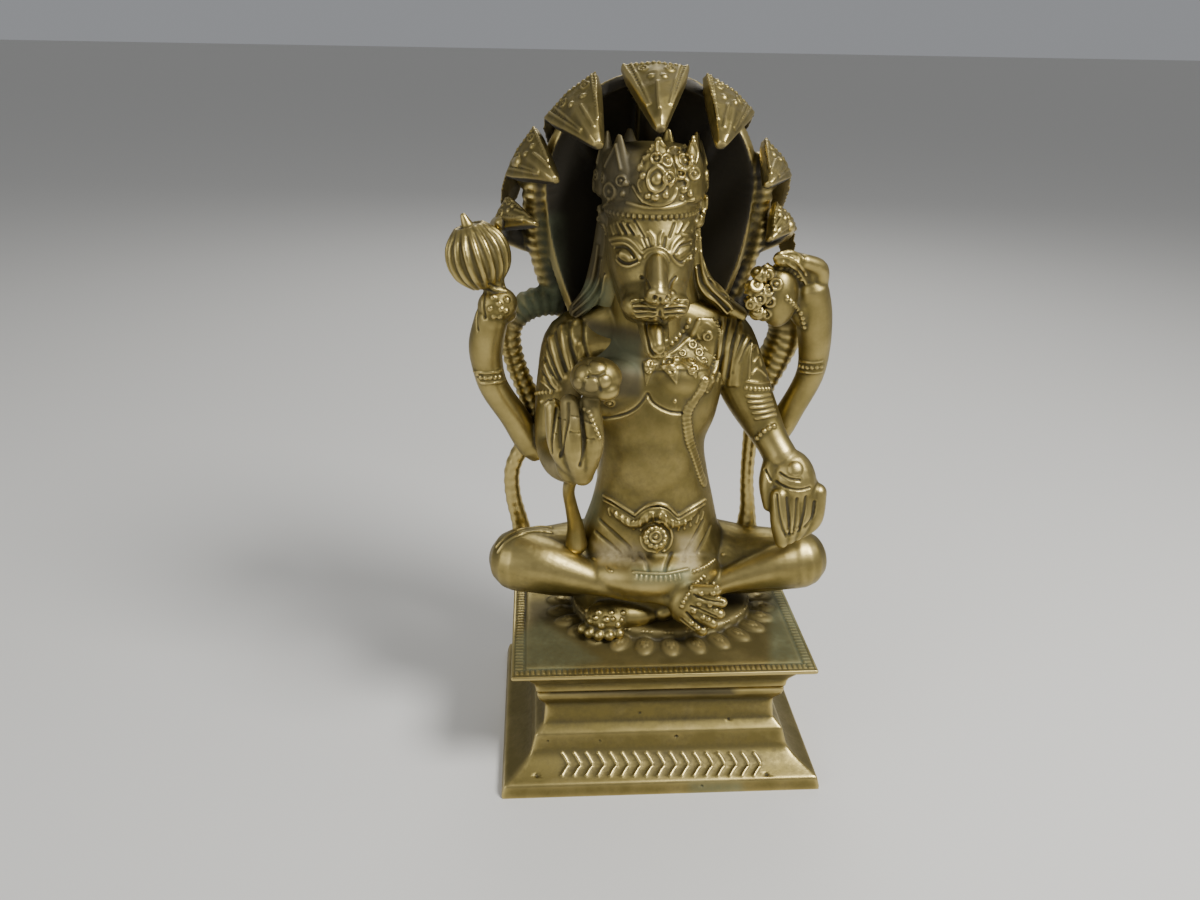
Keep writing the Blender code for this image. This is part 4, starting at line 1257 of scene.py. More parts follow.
# Ornaments of the chest, as pixels of the photograph.
COLLAR_PLATE = ((699, 318), (693, 334), (682, 345), (665, 357), (644, 361), (645, 371), (682, 370),
                (697, 371), (709, 369), (714, 357), (718, 343), (719, 330), (713, 318))
COLLAR_STRING = [(689, 321.6), (684.5, 330), (677.2, 337.4), (671, 344)]
COLLAR_WELT = [(698.4, 320), (692.4, 333.3), (682.7, 343.5), (673, 352), (659, 358.5)]
COLLAR_RINGS = ((668.7, 363, 2.3), (691.8, 344.8, 1.6), (707.5, 335.8, 1.7), (698.4, 352.7, 1.5),
                (682, 353.3, 1.3), (691.2, 362, 1.4), (694.4, 368.5, 1.2), (676, 359.6, 1.1),
                (649, 364.5, 1.5), (706, 347.5, 1.3), (703, 361, 1.3))
COLLAR_DIAMONDS = (
    [(699, 327), (706, 323.5), (712.5, 328.5)], [(700, 337), (704.5, 343), (711.5, 345)],
    [(697.5, 333.5), (703.5, 352), (712, 356)], [(686.5, 350.5), (694, 355.5), (705, 367)],
    [(681, 358), (688, 366), (696, 376)], [(703, 330), (698, 336.5), (694.5, 341)],
)
COLLAR_PENDANTS = (
    ((660, 366), (679, 366), (676.8, 384)), ((681, 363), (697.5, 372), (696, 378.5)),
    ((643, 361.5), (657, 364), (646, 386)),
)
COLLAR_BEADS = [(717, 322), (719.3, 332), (717.9, 343.5), (714, 357.6), (710.8, 369), (705.1, 380.5)]
CORD = [(705.1, 380.5), (701.3, 390), (694.8, 399), (689, 408), (686.6, 416), (687.5, 426.6),
        (689.3, 438.8), (693, 450.9), (696.6, 461.8), (700.5, 474), (704, 483)]
CHEST_ARCS = (
    [(647, 394), (642, 402), (634, 409.5), (622, 415), (602.7, 418)],
    [(648, 394), (652, 401.5), (660, 407.5), (671, 412), (684, 413)],
)
NIPPLE = (609.4, 403)
CHEST_SPOTS = ((674.8, 401.4, 0.95), (723, 404, 0.8))

# The belt, the lap and the hems, as pixels of the photograph.
BELT_RIDGES = (
    [(604, 495.5), (614.8, 501.2), (634.8, 514.5)],
    [(635.4, 514.5), (645.7, 506.3), (656.5, 503.4), (667.1, 506), (677.4, 515.3)],
    [(678, 515.3), (692, 507), (704.8, 499.4)],
)
BELT_DROP = 4.6
BELT_TASSELS = ((608.5, 509), (615, 513), (621.2, 517), (627, 520), (633, 522.5),
                (640, 521), (646.7, 517), (653, 515), (660, 515), (666.5, 517.5), (673, 521.5),
                (679, 523.5), (685.5, 522.5), (692, 519.4), (698, 516), (703, 513))
MEDALLION = (655.7, 537)
MEDALLION_BEADS = 12
MEDALLION_RIM = (16.4, 16)
MEDALLION_BEAD_RING = (10.6, 10.2)
HEM_DASHES = [(636, 577), (652, 578.6), (668, 578.6), (684, 575.5)]
HEMS = (
    [(634, 572), (652, 573.4), (668, 573.2), (688, 569)],
    [(572.8, 545.9), (593.2, 558.6), (611, 571.5)],
    [(496.5, 547), (505.3, 537.4), (521.3, 529.6), (537.4, 527), (551.2, 528.2)],
    [(498, 552), (507, 541.5), (522.5, 533.8), (538, 531.4), (551, 532.6)],
)
HEM_BEADS = [(693.9, 571.4), (705.4, 566.3), (714.3, 559.9), (724.5, 553.5)]
SLEEVE_GROOVES = (
    [(738.3, 318), (734, 338), (730.6, 357.6), (728, 376.7)],
    [(743.4, 336), (739, 346), (735.7, 357), (733, 372)],
    [(751, 339.7), (745, 349), (739.5, 362)], [(728, 320), (724, 340), (721, 360), (717, 380)],
    [(720, 322), (717.5, 340), (715, 358), (711, 376)],
    [(546, 345), (551.4, 361), (560.4, 379)], [(544.3, 358), (550.5, 371), (556.8, 384)],
    [(555, 332), (559, 350), (566, 371)], [(570, 322), (571, 345), (577, 363)],
    [(541.5, 372), (548, 381), (555, 388)], [(584, 322), (584, 340), (588, 356)],
)
SLEEVE_RIDGES = (
    [(733, 316), (729, 340), (725.5, 360), (722, 382)],
    [(741, 325), (736.5, 345), (733, 362), (730, 384)],
    [(748, 338), (742, 350), (737.5, 364), (736, 384)],
    [(724, 318), (720.5, 340), (717.5, 360), (713.5, 380)],
    [(550, 338), (555, 355), (563, 376)], [(562, 326), (565, 346), (571, 367)],
    [(577, 320), (577.5, 342), (582, 360)], [(545, 365), (550, 377), (558, 388)],
)
LAP_FOLDS = (
    [(600, 520), (614, 533), (628, 546), (634, 560)], [(596, 532), (609, 543), (622, 556)],
    [(703, 521), (696, 534), (688, 548), (684, 560)], [(710, 527), (704, 540), (697, 552)],
    [(640, 553), (646, 562), (648, 570)], [(671, 553), (667, 562), (665, 570)],
)

# The feet, as pixels of the photograph; the last value is a radius in grid steps.
SOLE_LINES = (
    [(693.9, 595), (705.5, 600.3), (722.3, 602.4)], [(690.8, 606.6), (704.4, 611.8), (716, 617.1)],
    [(686.5, 612.9), (693.9, 620.2), (703.4, 627)], [(681, 619), (686, 627), (693, 634)],
)
SOLE_BEADS = ((712.9, 593.9), (718.1, 597.6), (709.7, 605.5), (716, 609.7), (703.4, 617.1),
              (708.6, 619.2), (691.8, 623.4), (698.1, 628.1), (706.5, 583.5), (712.9, 583.5),
              (717.1, 586.5), (701, 594), (699, 604), (694, 611.5))
ANKLET = [(704.4, 577), (696, 583), (690.8, 589), (687, 596), (683.4, 602), (681.3, 609)]
TOE_BEADS = ((601.3, 626.6, 1.6), (606.6, 619.5, 1.5), (618.1, 626, 1.4), (621.8, 620, 1.2),
             (623.4, 613, 1.2), (611.5, 612.5, 1.3), (598.2, 611.9, 1.3), (589.7, 621.4, 1.5),
             (587, 610, 1.3), (595, 618, 1.1), (613, 619, 1.1))


def carve_sleeves(skin):
    """The cloth's folds from the shoulders down."""
    skin.draw(SLEEVE_RIDGES, 2.2, 0.7)
    skin.draw(SLEEVE_GROOVES, 1.3, -0.55)


# Patina and painted shade: a tint, its outline in pixels of the photograph, its amount and its edge if
# not 12.
BODY_STAINS_AND_SHADE = (
    ("green", [(540, 335), (583, 335), (578, 372), (556, 385)], 0.7),
    ("green", [(590, 330), (640, 340), (640, 372), (598, 366)], 0.4),
    ("green", [(575, 492), (602, 492), (598, 525), (574, 520)], 0.6),
    ("green", [(632, 566), (692, 566), (690, 584), (634, 584)], 0.45),
    ("chalk", [(593, 543), (640, 546), (648, 563), (600, 563)], 0.75),
    ("chalk", [(678, 536), (697, 536), (699, 568), (678, 568)], 0.7),
    # Painted shade: the chest between the face and the left shoulder, which lies in shade, is darkened
    # to nearly black.
    ("film_and_shade", [(584, 318), (644, 330), (642, 398), (600, 398)], 0.75),
    ("rub", [(500, 536), (560, 540), (670, 585), (660, 600), (540, 578), (500, 566)], 0.45),
    ("rub", [(812, 540), (822, 560), (720, 592), (716, 580), (770, 552)], 0.45),
)


def carve_body(skin):
    """The collar, the cord, the belt and its medallion, the folds, the hems and the feet."""
    for path, distance, rounds in BODY_SOFT:
        skin.soften(path, distance, rounds)
    skin.plate(COLLAR_PLATE, 0.5)
    for outline in COLLAR_PENDANTS:
        skin.plate(outline, 0.6, 1.6)
        middle = (sum(spot[0] for spot in outline) / 3, sum(spot[1] for spot in outline) / 3)
        skin.ringed(skin.seen([middle])[0], 1.2, 0.6)
    skin.draw([COLLAR_WELT], 1.4, 0.8)
    skin.beads(skin.seen(COLLAR_STRING), 1.1, 2.4, 1.0)
    skin.draw(COLLAR_DIAMONDS, 0.7, 0.55)
    skin.rings(COLLAR_RINGS, 0.75)
    skin.write()
    skin.draw([[(across + 3, down + 1) for across, down in COLLAR_BEADS]], 0.7, -0.4)
    skin.beads(skin.seen(COLLAR_BEADS), 0.9, 1.7, 0.9)
    cord = smooth_path(skin.seen(CORD), 6)
    skin.band(cord, 1.5, 0.7, 0.7)
    skin.write()
    skin.strokes(cord, 3.0, 1.9, 0.85, 0.75)
    skin.draw(CHEST_ARCS, 1.0, -0.75)
    skin.ringed(skin.seen([NIPPLE])[0], 2.0, 0.5)
    skin.boss(skin.seen([NIPPLE])[0], 1.5, 0.6)
    skin.bosses(CHEST_SPOTS, 0.8)
    skin.write()
    skin.draw(BELT_RIDGES, 1.1, 1.0)
    skin.draw([[(across, down + BELT_DROP) for across, down in line] for line in BELT_RIDGES],
              0.9, 0.7)
    skin.draw([[(across, down + BELT_DROP / 2) for across, down in line] for line in BELT_RIDGES],
              0.7, -0.8)
    skin.draw([[(across, down - 1), (across - (across - 655) * 0.04, down + 6)]
               for across, down in BELT_TASSELS], 0.85, 0.7)
    carve_medallion(skin)
    skin.draw(HEMS, 0.9, 0.7)
    skin.strokes(skin.seen(HEM_DASHES), 2.0, 2.1, 0.6, 0.6)
    skin.beads(skin.seen(HEM_BEADS), 0.95, 2.0, 0.8)
    carve_sleeves(skin)
    skin.draw(LAP_FOLDS, 1.4, -0.6)
    skin.draw(SOLE_LINES, 0.8, -0.9)
    for spot in skin.seen(SOLE_BEADS):
        skin.boss(spot, 1.25, 0.9)
    skin.bosses(TOE_BEADS, 0.9)
    skin.write()
    skin.beads(skin.seen(ANKLET), 0.95, 2.0, 0.8)
    # Verdigris, pale powder, rubbed wear and painted shade on the chest.
    skin.stains_and_shade(BODY_STAINS_AND_SHADE)


def carve_medallion(skin):
    """A round boss under the belt: a raised rim, a ring of beads and a bead in the middle."""
    centre_x, centre_y = MEDALLION
    rim, beads = ([(centre_x + half_x * math.cos(around), centre_y + half_y * math.sin(around))
                   for around in (*turns(MEDALLION_BEADS), 2 * math.pi)]
                  for half_x, half_y in (MEDALLION_RIM, MEDALLION_BEAD_RING))
    skin.draw([rim], 0.9, 0.9)
    for spot in skin.seen(beads[1:]):
        skin.boss(spot, 1.3, 0.9)
    skin.write()
    skin.ringed(skin.seen([MEDALLION])[0], 2.2, 0.9)
    skin.boss(skin.seen([MEDALLION])[0], 1.2, 0.6)
    skin.write()


# The fruit, the fingers and the bracelets of the right arms, as pixels of the photograph.
FRUIT_LOBES = ((583, 373, 3.4), (597, 367, 3.4), (605, 381.5, 2.6), (591, 385, 3.2), (578, 384, 2.4))
FRUIT_GROOVES = (
    [(589, 361), (590, 370), (588, 377)], [(588, 377), (596, 376), (604, 373)],
    [(588, 377), (584, 384), (582, 391)], [(597, 377), (598.5, 384), (601, 391)],
)
FINGER_SLOTS = (
    [(568.5, 404), (567.5, 421.8), (563.5, 441.4), (560.4, 456.6)],
    [(580.9, 410), (582, 423.6), (583.8, 443.2), (580, 466)],
    [(557, 409), (554, 425), (551, 441), (551.5, 452)],
)
FINGER_CREASES = (
    [(559, 418), (565, 420)], [(571, 416), (579, 417)], [(585, 421), (592, 423)],
    [(556, 434), (562, 436)], [(570, 432), (580, 433)], [(585, 438), (594, 439)],
)
SLEEVE_EDGE_BEADS = [(584.5, 409), (588.5, 412), (592.5, 421.8), (596.5, 430), (600.5, 440)]
ARMLET_RIGHT = [(534, 399), (541, 401.5), (549, 402), (555, 400.5)]
ARMLET_RIGHT_BEADS = [(536, 393.6), (542, 392.4), (548, 392), (554, 392.6)]
BRACELET_RIGHT = [(474, 376.4), (481, 377.6), (490, 377.8), (500, 377), (506, 375.4)]
BRACELET_LINES = 5.2
ARM_PATTERN = (
    [(543, 376), (549, 381), (556, 388)], [(541, 381), (547, 386), (552, 391)],
    [(546, 371.5), (553, 378), (559, 385)],
)
HAND_BUMPS = ((493, 297, 1.3), (507.2, 299.5, 1.3), (499, 303.6, 1.2), (489.8, 308.6, 1.2),
              (501.4, 309.5, 1.2), (493.9, 316.9, 1.2), (506.3, 311.1, 1.1), (499.7, 317, 1.1))
HAND_FOLDS = (
    [(485, 293), (483.5, 304), (485, 318)], [(478.5, 300), (477, 315), (478, 330)],
    [(489, 284), (496, 287), (504, 286)], [(487.5, 289.5), (495, 292.5), (506, 291.5)],
)


# Tints: a tint, its outline in pixels of the photograph, its amount and its edge if not 12.
RIGHT_ARM_TINTS = (
    # Darkens the fingertips below the fruit.
    ("film_and_shade", [(560, 380), (604, 380), (590, 425), (562, 425)], 0.45),
    ("rub", [(478, 330), (520, 385), (540, 430), (520, 440), (474, 380)], 0.3),
)


def carve_right_arms(skin):
    """The fruit's seams, the fingers, the sleeve's hem and the beaded armlet and bracelet."""
    carve_sleeves(skin)
    skin.bosses(FRUIT_LOBES, 0.8)
    skin.write()
    skin.draw(FRUIT_GROOVES, 1.1, -0.4)
    skin.draw(FINGER_SLOTS, 1.1, -0.8)
    skin.draw(FINGER_CREASES, 0.6, -0.5)
    skin.beads(skin.seen(SLEEVE_EDGE_BEADS), 0.85, 1.8, 0.8)
    skin.draw([ARMLET_RIGHT], 1.2, 0.7)
    skin.beads(skin.seen(ARMLET_RIGHT_BEADS), 0.95, 2.0, 0.8)
    skin.draw(ARM_PATTERN, 0.7, 0.6)
    carve_bracelet(skin, BRACELET_RIGHT)
    skin.bosses(HAND_BUMPS, 0.8)
    skin.write()
    skin.draw(HAND_FOLDS, 0.8, -0.7)
    skin.stains_and_shade(RIGHT_ARM_TINTS)


def carve_bracelet(skin, spots):
    """A ring of beads between two welts, round the half of a wrist that shows."""
    skin.beads(skin.seen(spots), 0.95, 2.0, 0.9)
    skin.draw([[(across, down + shift) for across, down in spots]
               for shift in (-BRACELET_LINES, BRACELET_LINES)], 0.75, 0.6)


# The disc, the knuckles and the bracelets of the left arms, as pixels of the photograph.
DISC_CURLS = ((745.5, 275, 2), (756, 271, 2.1), (768, 276, 2.2), (776, 284, 2), (744, 285.5, 2),
              (757, 284.5, 2.3), (768.5, 290, 2), (748, 296.5, 1.9), (759.5, 299, 2.1),
              (770, 302, 1.8), (757.5, 310.5, 1.8), (766.5, 313.5, 1.7), (750, 305, 1.5))
DISC_FLUTES = (
    [(763.9, 256), (777.1, 250.5), (791.4, 251.5), (803, 259)],
    [(768, 260.5), (778, 256.5), (789.5, 257.5), (799, 264), (806, 275)],
    [(774, 265), (783, 262.5), (792, 266), (800, 273), (806, 284)],
)
DISC_BEADS = [(787.3, 298.3), (792, 302.5), (796.5, 308), (801.6, 315.5), (804.5, 329)]
DISC_EDGE = [(781.2, 267.6), (788.4, 268.7), (795.5, 273.8), (802, 280)]
BRACELET_UPPER = [(800, 366), (806, 367.4), (814, 367.6), (822, 366)]
ARMLET_LEFT = [(747, 381), (757, 382.6), (769, 381.6)]
ARMLET_LEFT_BEADS = [(746, 388), (752, 389), (760, 389.4), (770, 388.4)]

# The rings below the left armlet: the first one's spots, and how far each next one shifts.
SLEEVE_RINGS = 5
SLEEVE_RING = ((747, 396), (757, 397), (770, 394))
SLEEVE_SHIFT = ((2.2, 5.6), (2.2, 5), (1.4, 5))
BRACELET_LOWER = [(757, 438), (761, 433.6), (765.5, 430), (771, 427), (776, 425)]
CUFF_SQUARES = ([(752, 350), (756, 345), (762, 352)], [(754, 362), (759, 357), (765, 364)],
                [(752, 374), (758, 369), (766, 376)], [(751.5, 342), (750, 358), (749, 378)])
KNUCKLES = (
    [(780, 473), (789.3, 478.4), (800, 480)], [(776, 481.5), (786.7, 487.6), (798.2, 490), (810, 487.5)],
    [(765, 470), (768.5, 475.8), (771, 480)],
)
FINGER_GROOVES = (
    [(776.5, 494.4), (778.5, 511), (782.5, 527.6), (786.5, 536)],
    [(787, 498), (788.5, 514), (789.5, 535)],
    [(797, 499), (796, 516), (793, 534)], [(806, 497), (804, 512), (798.5, 531)],
    [(814.5, 502), (812.4, 516), (805, 527)],
)
NAILS = ((787.5, 531), (792.5, 532.5), (797, 529))
WRIST_BONE = ((795.7, 468.5, 3.2),)


# Patina: a tint, its outline in pixels of the photograph, its amount and its edge if not 12.
LEFT_ARM_STAINS = (
    ("rub", [(768, 440), (812, 446), (824, 490), (780, 480)], 0.35),
)


def carve_left_arms(skin):
    """The disc's curls and flutes, the knuckles and fingers, and the arms' rings."""
    skin.rings(DISC_CURLS, 0.9)
    skin.write()
    skin.draw(DISC_FLUTES, 0.9, 0.7)
    skin.beads(skin.seen(DISC_EDGE), 1.0, 2.1, 0.8)
    skin.beads(skin.seen(DISC_BEADS), 1.1, 2.3, 0.9)
    carve_bracelet(skin, BRACELET_UPPER)
    skin.draw([ARMLET_LEFT], 1.1, 0.7)
    skin.beads(skin.seen(ARMLET_LEFT_BEADS), 0.95, 2.0, 0.8)
    skin.draw([[(across + shift_across * row, down + shift_down * row)
                for (across, down), (shift_across, shift_down) in zip(SLEEVE_RING, SLEEVE_SHIFT)]
               for row in range(SLEEVE_RINGS)], 1.0, 0.75)
    skin.beads(skin.seen(BRACELET_LOWER), 1.2, 2.3, 1.0)
    skin.draw(CUFF_SQUARES, 0.8, 0.6)
    skin.draw(KNUCKLES, 1.0, -0.8)
    skin.draw(FINGER_GROOVES, 1.1, -0.8)
    for spot in skin.seen(NAILS):
        skin.boss(spot, 1.1, 0.4)
    skin.bosses(WRIST_BONE, 0.6)
    skin.write()
    carve_sleeves(skin)
    skin.stains_and_shade(LEFT_ARM_STAINS)


# The two lines inside a hood head's edge, as shares of its half width, and where they pass.
BORDER_LINES = (0.86, 0.66)
BORDER_SPOTS = (0.02, 0.25, 0.5, 0.72)


def carve_cobra_heads(skin):
    """Borders, a beaded brow, eyes, curls, a ridge along each snout and hatched cheeks, with painted
    shade under the heads.
    """
    for corners in HEADS:
        inner, outer, tip = (Vector(corner) for corner in corners)
        middle = (inner + outer) / 2
        reach = (inner - outer).length / 2
        lift = Vector((0, -1.5, 3))

        def spot(along, across):
            side = (inner - middle) * across * (1 - along * 0.86)
            return middle.lerp(tip, along) + side + lift

        for turn in (-1, 1):
            for inset in BORDER_LINES:
                line = skin.nearest([spot(along, turn * inset) for along in BORDER_SPOTS])
                skin.score(smooth_path(line, 5), 0.85, 0.45)
            skin.boss(skin.nearest([spot(0.3, turn * 0.22)])[0], 1.0 + reach * 0.03, 0.7)
            skin.ringed(skin.nearest([spot(0.14, turn * 0.4)])[0], 0.9 + reach * 0.05, 0.5)
        skin.write()
        for turn in (-1, 1):
            skin.strokes(skin.nearest([spot(along, turn * 0.76) for along in (0.05, 0.3, 0.6)]),
                         1.8, 1.6, 0.5, -0.4)
        brow = skin.nearest([spot(0.03, across) for across in (-0.55, -0.2, 0.2, 0.55)])
        skin.beads(brow, 0.85, 2.1, 0.5)
        skin.score(skin.nearest([spot(along, 0) for along in (0.42, 0.6, 0.8)]), 0.9, 0.5)
        skin.write()
    # Painted shade: faces that look downwards, such as the heads' undersides, are darkened to nearly
    # black.
    under = np.clip(-skin.normals[:, 2] * 1.6 - 0.2, 0, 1)
    skin.tints["film_and_shade"] = np.maximum(skin.tints["film_and_shade"], under)


# Patina: a tint, its outline in pixels of the photograph, its amount and its edge if not 12.
HOOD_STAINS = (
    ("green", [(513, 288), (560, 284), (560, 312), (520, 322)], 0.9),
    ("green", [(538, 215), (562, 215), (566, 290), (540, 290)], 0.35),
)


def carve_serpent(skin):
    """Rings round the serpent's body, scales on its necks, and soot with painted shade inside the hood.
    """
    for left in (True, False):
        path = [point[:3] for point in serpent_path(left)]
        skin.ripple(smooth_path(path[:7], 8), 9, 3.6, 0.32)
        skin.ripple(smooth_path(path[6:], 8), 7, 4.5, 0.12)
    skin.write()
    for side in (-1, 1):
        edge = [point[:3] for point in hood_edge(side)]
        skin.ripple(smooth_path(edge, 8), 9, 3.8, 0.25)
    for inner, outer, _ in HEADS:
        start, middle = neck(inner, outer, *NECK_SCALES)
        skin.ripple(smooth_path([tuple(start), tuple(middle), tuple(NECKS_MEET)], 10), 6, 3.8, 0.3)
    skin.write()
    # Soot and painted shade: what faces into the hood above its foot is darkened to nearly black.
    level = skin.points[:, 2]
    toward = np.array((HOOD_MIDDLE, SHADE_AND_SOOT_AXIS, 0)) - skin.points * (1, 1, 0)
    toward /= np.linalg.norm(toward, axis=1)[:, None]
    inward = eased(np.einsum("ij,ij->i", skin.normals, toward) * 2.2)
    inward *= eased((level - HOOD_FOOT) / SHADE_AND_SOOT_FADE)
    skin.tints["film_and_shade"] = np.maximum(skin.tints["film_and_shade"], inward)
    skin.stains_and_shade(HOOD_STAINS)


# Patina and painted shade: a tint, its outline in pixels of the photograph, its amount and its edge if
# not 12.
SEAT_STAINS_AND_SHADE = (
    ("green", [(770, 590), (792, 590), (816, 668), (770, 664)], 0.5),
    ("green", [(512, 640), (540, 620), (600, 660), (560, 672), (512, 672)], 0.4),
    # Painted shade: the seat's top and front under the figure are darkened.
    ("film_and_shade", [(516, 640), (530, 600), (790, 590), (812, 660), (516, 668)], 0.4),
)


def carve_seat(skin):
    """Ribs on the petals and a hatched border along the slab."""
    for around in turns(PETALS, 0.5):
        out = Vector((math.cos(around), math.sin(around), 0))
        side = Vector((-out.y, out.x, 0))
        for shift in (-PETAL_RIB_PITCH, 0, PETAL_RIB_PITCH):
            path = [Vector((CUSHION_MIDDLE + out.x * (PETAL_ROOTS[0] + along),
                            CUSHION_MIDDLE + out.y * (PETAL_ROOTS[1] + along), 6)) + side * shift
                    for along in (0.5, 4, 7.5 - abs(shift))]
            skin.score(skin.nearest(path), 0.75, 0.6)
    skin.write()
    half_x, half_y = SLAB_HALF_X / STEP, SLAB_HALF_Y / STEP
    corners = ((-1, -1), (1, -1), (1, 1), (-1, 1), (-1, -1))
    for (start_x, start_y), (end_x, end_y) in zip(corners, corners[1:]):
        for inset in SLAB_LINES:
            line = skin.nearest([(start_x * (half_x - inset), start_y * (half_y - inset), 1),
                                 (end_x * (half_x - inset), end_y * (half_y - inset), 1)])
            skin.score(line, 0.8, -0.6)
        line = [(start_x * (half_x - SLAB_HATCH), start_y * (half_y - SLAB_HATCH), 0),
                (end_x * (half_x - SLAB_HATCH), end_y * (half_y - SLAB_HATCH), 0)]
        skin.strokes(line, 3, 2.2, 0.6, -0.55)
    # Verdigris on the slab and painted shade under the figure.
    skin.stains_and_shade(SEAT_STAINS_AND_SHADE)


# The band of raised strokes on the pedestal's front, as pixels of the photograph.
BAND_LEFT, BAND_RIGHT = 565, 757
BAND_TOP = 753
BAND_ROW_STEP = 13
BAND_MARKS = 17
PITS = ((676.5, 736.5, 0.8), (536.6, 775.5, 0.9), (766.5, 774.4, 0.9), (728.5, 719, 0.7),
        (600, 741, 0.6), (640, 713, 0.6), (702, 786, 0.7), (548, 741, 0.6))


# Patina and painted shade: a tint, its outline in pixels of the photograph, its amount and its edge if
# not 12.
PEDESTAL_STAINS_AND_SHADE = (
    # Painted shadow: a dark band on the pedestal's top, just under the slab's overhang.
    ("film_and_shade", [(548, 686), (735, 686), (735, 695), (548, 695)], 0.8, 6),
    ("green", [(690, 782), (740, 782), (745, 794), (690, 794)], 0.5),
)


def carve_pedestal(skin):
    """Two rows of leaning strokes that are no letters, casting pits, patina and a painted shadow under
    the slab.
    """
    pitch = (BAND_RIGHT - BAND_LEFT) / (BAND_MARKS - 1)
    for index in range(BAND_MARKS):
        left = BAND_LEFT + pitch * index
        for row, lean in enumerate((3, -3)):
            top = BAND_TOP + BAND_ROW_STEP * row
            skin.draw([[(left - lean, top), (left, top + 4), (left + lean, top + 9.5)]], 1.0, 0.6)
    skin.bosses(PITS, -0.8)
    skin.write()
    skin.stains_and_shade(PEDESTAL_STAINS_AND_SHADE)


class STATUE_OT_body(bpy.types.Operator):
    """Model the torso with its robe, legs and feet"""
    bl_idname = "statue.body"
    bl_label = "Body"

    def execute(self, context):
        medium = context.scene.statue_sizes.medium
        cast("body", (torso, legs, feet, belt), medium, carve_body)
        return {"FINISHED"}


class STATUE_OT_head(bpy.types.Operator):
    """Model the lion's head with its crown and hair"""
    bl_idname = "statue.head"
    bl_label = "Head"

    def execute(self, context):
        fine = context.scene.statue_sizes.fine
        cast("head", (head_form, crown, hair), fine, carve_head)
        return {"FINISHED"}


class STATUE_OT_arms(bpy.types.Operator):
    """Model both pairs of arms with what their hands hold"""
    bl_idname = "statue.arms"
    bl_label = "Arms"

    def execute(self, context):
        medium = context.scene.statue_sizes.medium
        cast("right_arms", (right_arms_form,), medium, carve_right_arms)
        cast("left_arms", (left_arms_form,), medium, carve_left_arms)
        return {"FINISHED"}


class STATUE_OT_hood(bpy.types.Operator):
    """Model the serpent: its hood's wall and body, and its heads"""
    bl_idname = "statue.hood"
    bl_label = "Serpent hood"

    def execute(self, context):
        sizes = context.scene.statue_sizes
        cast("serpent", (hood_back,), sizes.broad, carve_serpent)
        cast("cobra_heads", (cobra_heads,), sizes.medium, carve_cobra_heads)
        return {"FINISHED"}


class STATUE_OT_pedestal(bpy.types.Operator):
    """Model the stepped pedestal"""
    bl_idname = "statue.pedestal"
    bl_label = "Pedestal"

    def execute(self, context):
        square = context.scene.statue_sizes.square
        cast("pedestal_casting", (pedestal_form,), square, carve_pedestal, "pedestal")
        return {"FINISHED"}


class STATUE_OT_seat(bpy.types.Operator):
    """Model the square lotus seat"""
    bl_idname = "statue.seat"
    bl_label = "Seat"

    def execute(self, context):
        square = context.scene.statue_sizes.square
        cast("lotus_seat", (seat_form,), square, carve_seat)
        return {"FINISHED"}


# The plain studio's soft lights: name, place, width in metres and power in watts.
LIGHTS = (("key", (0.5, -0.42, 0.85), 0.35, 13), ("fill", (-0.9, -0.6, 0.5), 0.9, 3.5),
          ("back", (0.1, 0.9, 0.9), 0.7, 4))
LIGHTS_AIM = (0, 0, 0.15)
STUDIO_TINT = (0.8, 0.82, 0.86)
STUDIO_STRENGTH = 0.35
FLOOR_ROUGHNESS = 0.8


def camera():
    """The camera where the statue is seen from, a little left of it and well above."""
    data = bpy.data.cameras.new("camera")
    data.sensor_fit = "HORIZONTAL"
    data.sensor_width = CAMERA_SENSOR
    data.lens = CAMERA_LENS
    data.clip_start = 0.01
    item = new_object("camera", data)
    item.matrix_world = VIEW
    bpy.context.scene.camera = item


def soft_light(name, spot, size, power):
    data = bpy.data.lights.new(name, "AREA")
    data.shape = "DISK"
    data.size = size
    data.energy = power
    item = new_object(name, data)
    toward = Vector(LIGHTS_AIM) - Vector(spot)
    item.matrix_world = (Matrix.Translation(spot)
                         @ toward.to_track_quat("-Z", "Y").to_matrix().to_4x4())


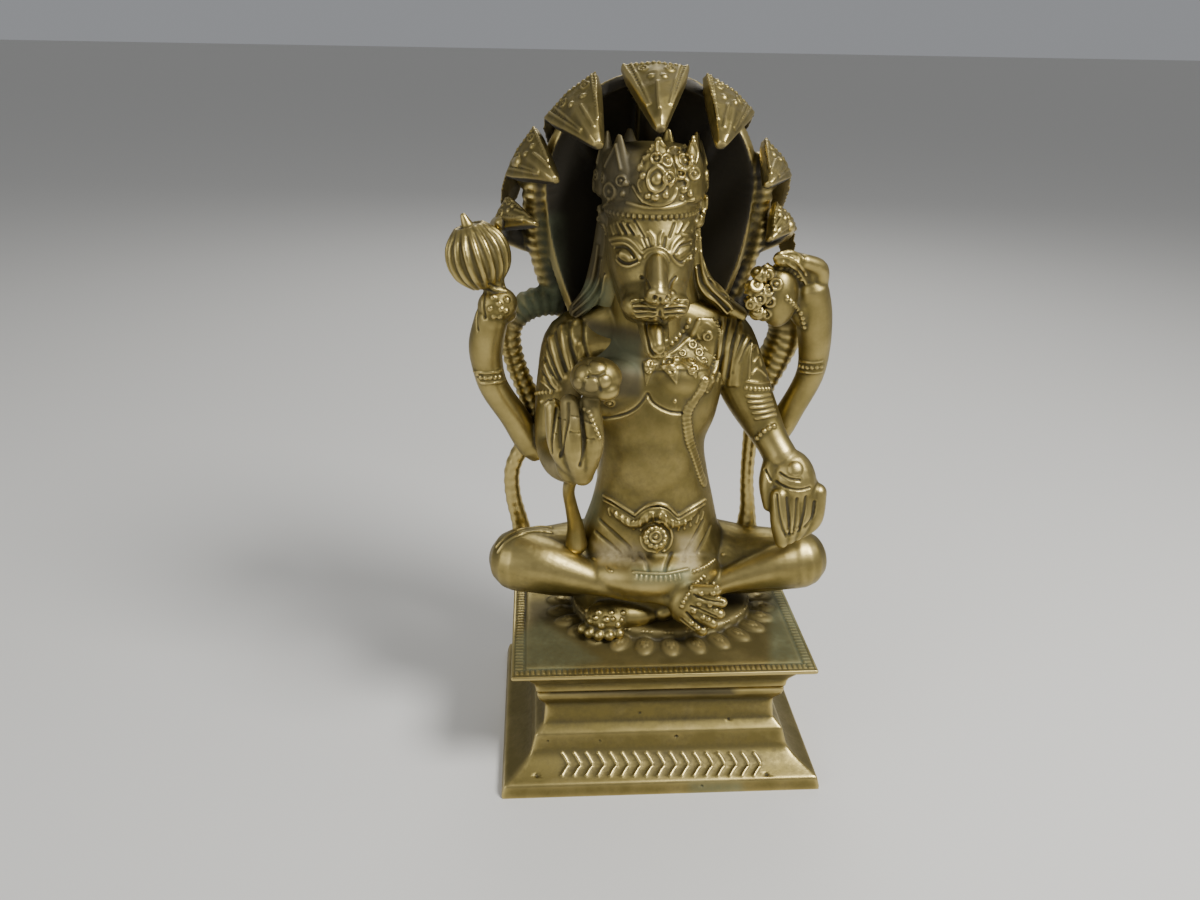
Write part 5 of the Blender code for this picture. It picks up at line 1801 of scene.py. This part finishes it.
class STATUE_OT_stage(bpy.types.Operator):
    """Lay the pale floor and set the camera and the soft lights"""
    bl_idname = "statue.stage"
    bl_label = "Stage"

    def execute(self, context):
        scene = context.scene
        bm = bmesh.new()
        bmesh.ops.create_grid(bm, x_segments=1, y_segments=1, size=scene.statue_sizes.floor_reach)
        floor = new_object("floor", to_mesh("floor", bm))
        material = bpy.data.materials.new("matt floor paint")
        material.use_nodes = True
        shader = material.node_tree.nodes["Principled BSDF"]
        shader.inputs["Base Color"].default_value = (*scene.statue_colours.floor, 1)
        shader.inputs["Roughness"].default_value = FLOOR_ROUGHNESS
        floor.data.materials.append(material)
        camera()
        for light in LIGHTS:
            soft_light(*light)
        world = bpy.data.worlds.new("studio")
        scene.world = world
        world.use_nodes = True
        background = world.node_tree.nodes["Background"]
        background.inputs["Color"].default_value = (*STUDIO_TINT, 1)
        background.inputs["Strength"].default_value = STUDIO_STRENGTH
        return {"FINISHED"}


OPERATORS = (STATUE_OT_pedestal, STATUE_OT_seat, STATUE_OT_body, STATUE_OT_head, STATUE_OT_arms,
             STATUE_OT_hood, STATUE_OT_stage)


class STATUE_PT_panel(bpy.types.Panel):
    """Lists the statue's pieces in the sidebar"""
    bl_idname = "STATUE_PT_panel"
    bl_label = "Shrine figure"
    bl_space_type = "VIEW_3D"
    bl_region_type = "UI"
    bl_category = "Shrine figure"

    def draw(self, context):
        for operator in OPERATORS:
            self.layout.operator(operator.bl_idname)
        for group in (context.scene.statue_sizes, context.scene.statue_colours):
            for name in group.__annotations__:
                self.layout.prop(group, name)


CLASSES = (StatueColours, StatueSizes, *OPERATORS, STATUE_PT_panel)


def register():
    for item in CLASSES:
        bpy.utils.register_class(item)
    bpy.types.Scene.statue_colours = bpy.props.PointerProperty(type=StatueColours)
    bpy.types.Scene.statue_sizes = bpy.props.PointerProperty(type=StatueSizes)


def unregister():
    del bpy.types.Scene.statue_colours
    del bpy.types.Scene.statue_sizes
    for item in reversed(CLASSES):
        bpy.utils.unregister_class(item)


def main():
    register()
    for operator in OPERATORS:
        group, name = operator.bl_idname.split(".")
        getattr(getattr(bpy.ops, group), name)()


if __name__ == "__main__":
    main()
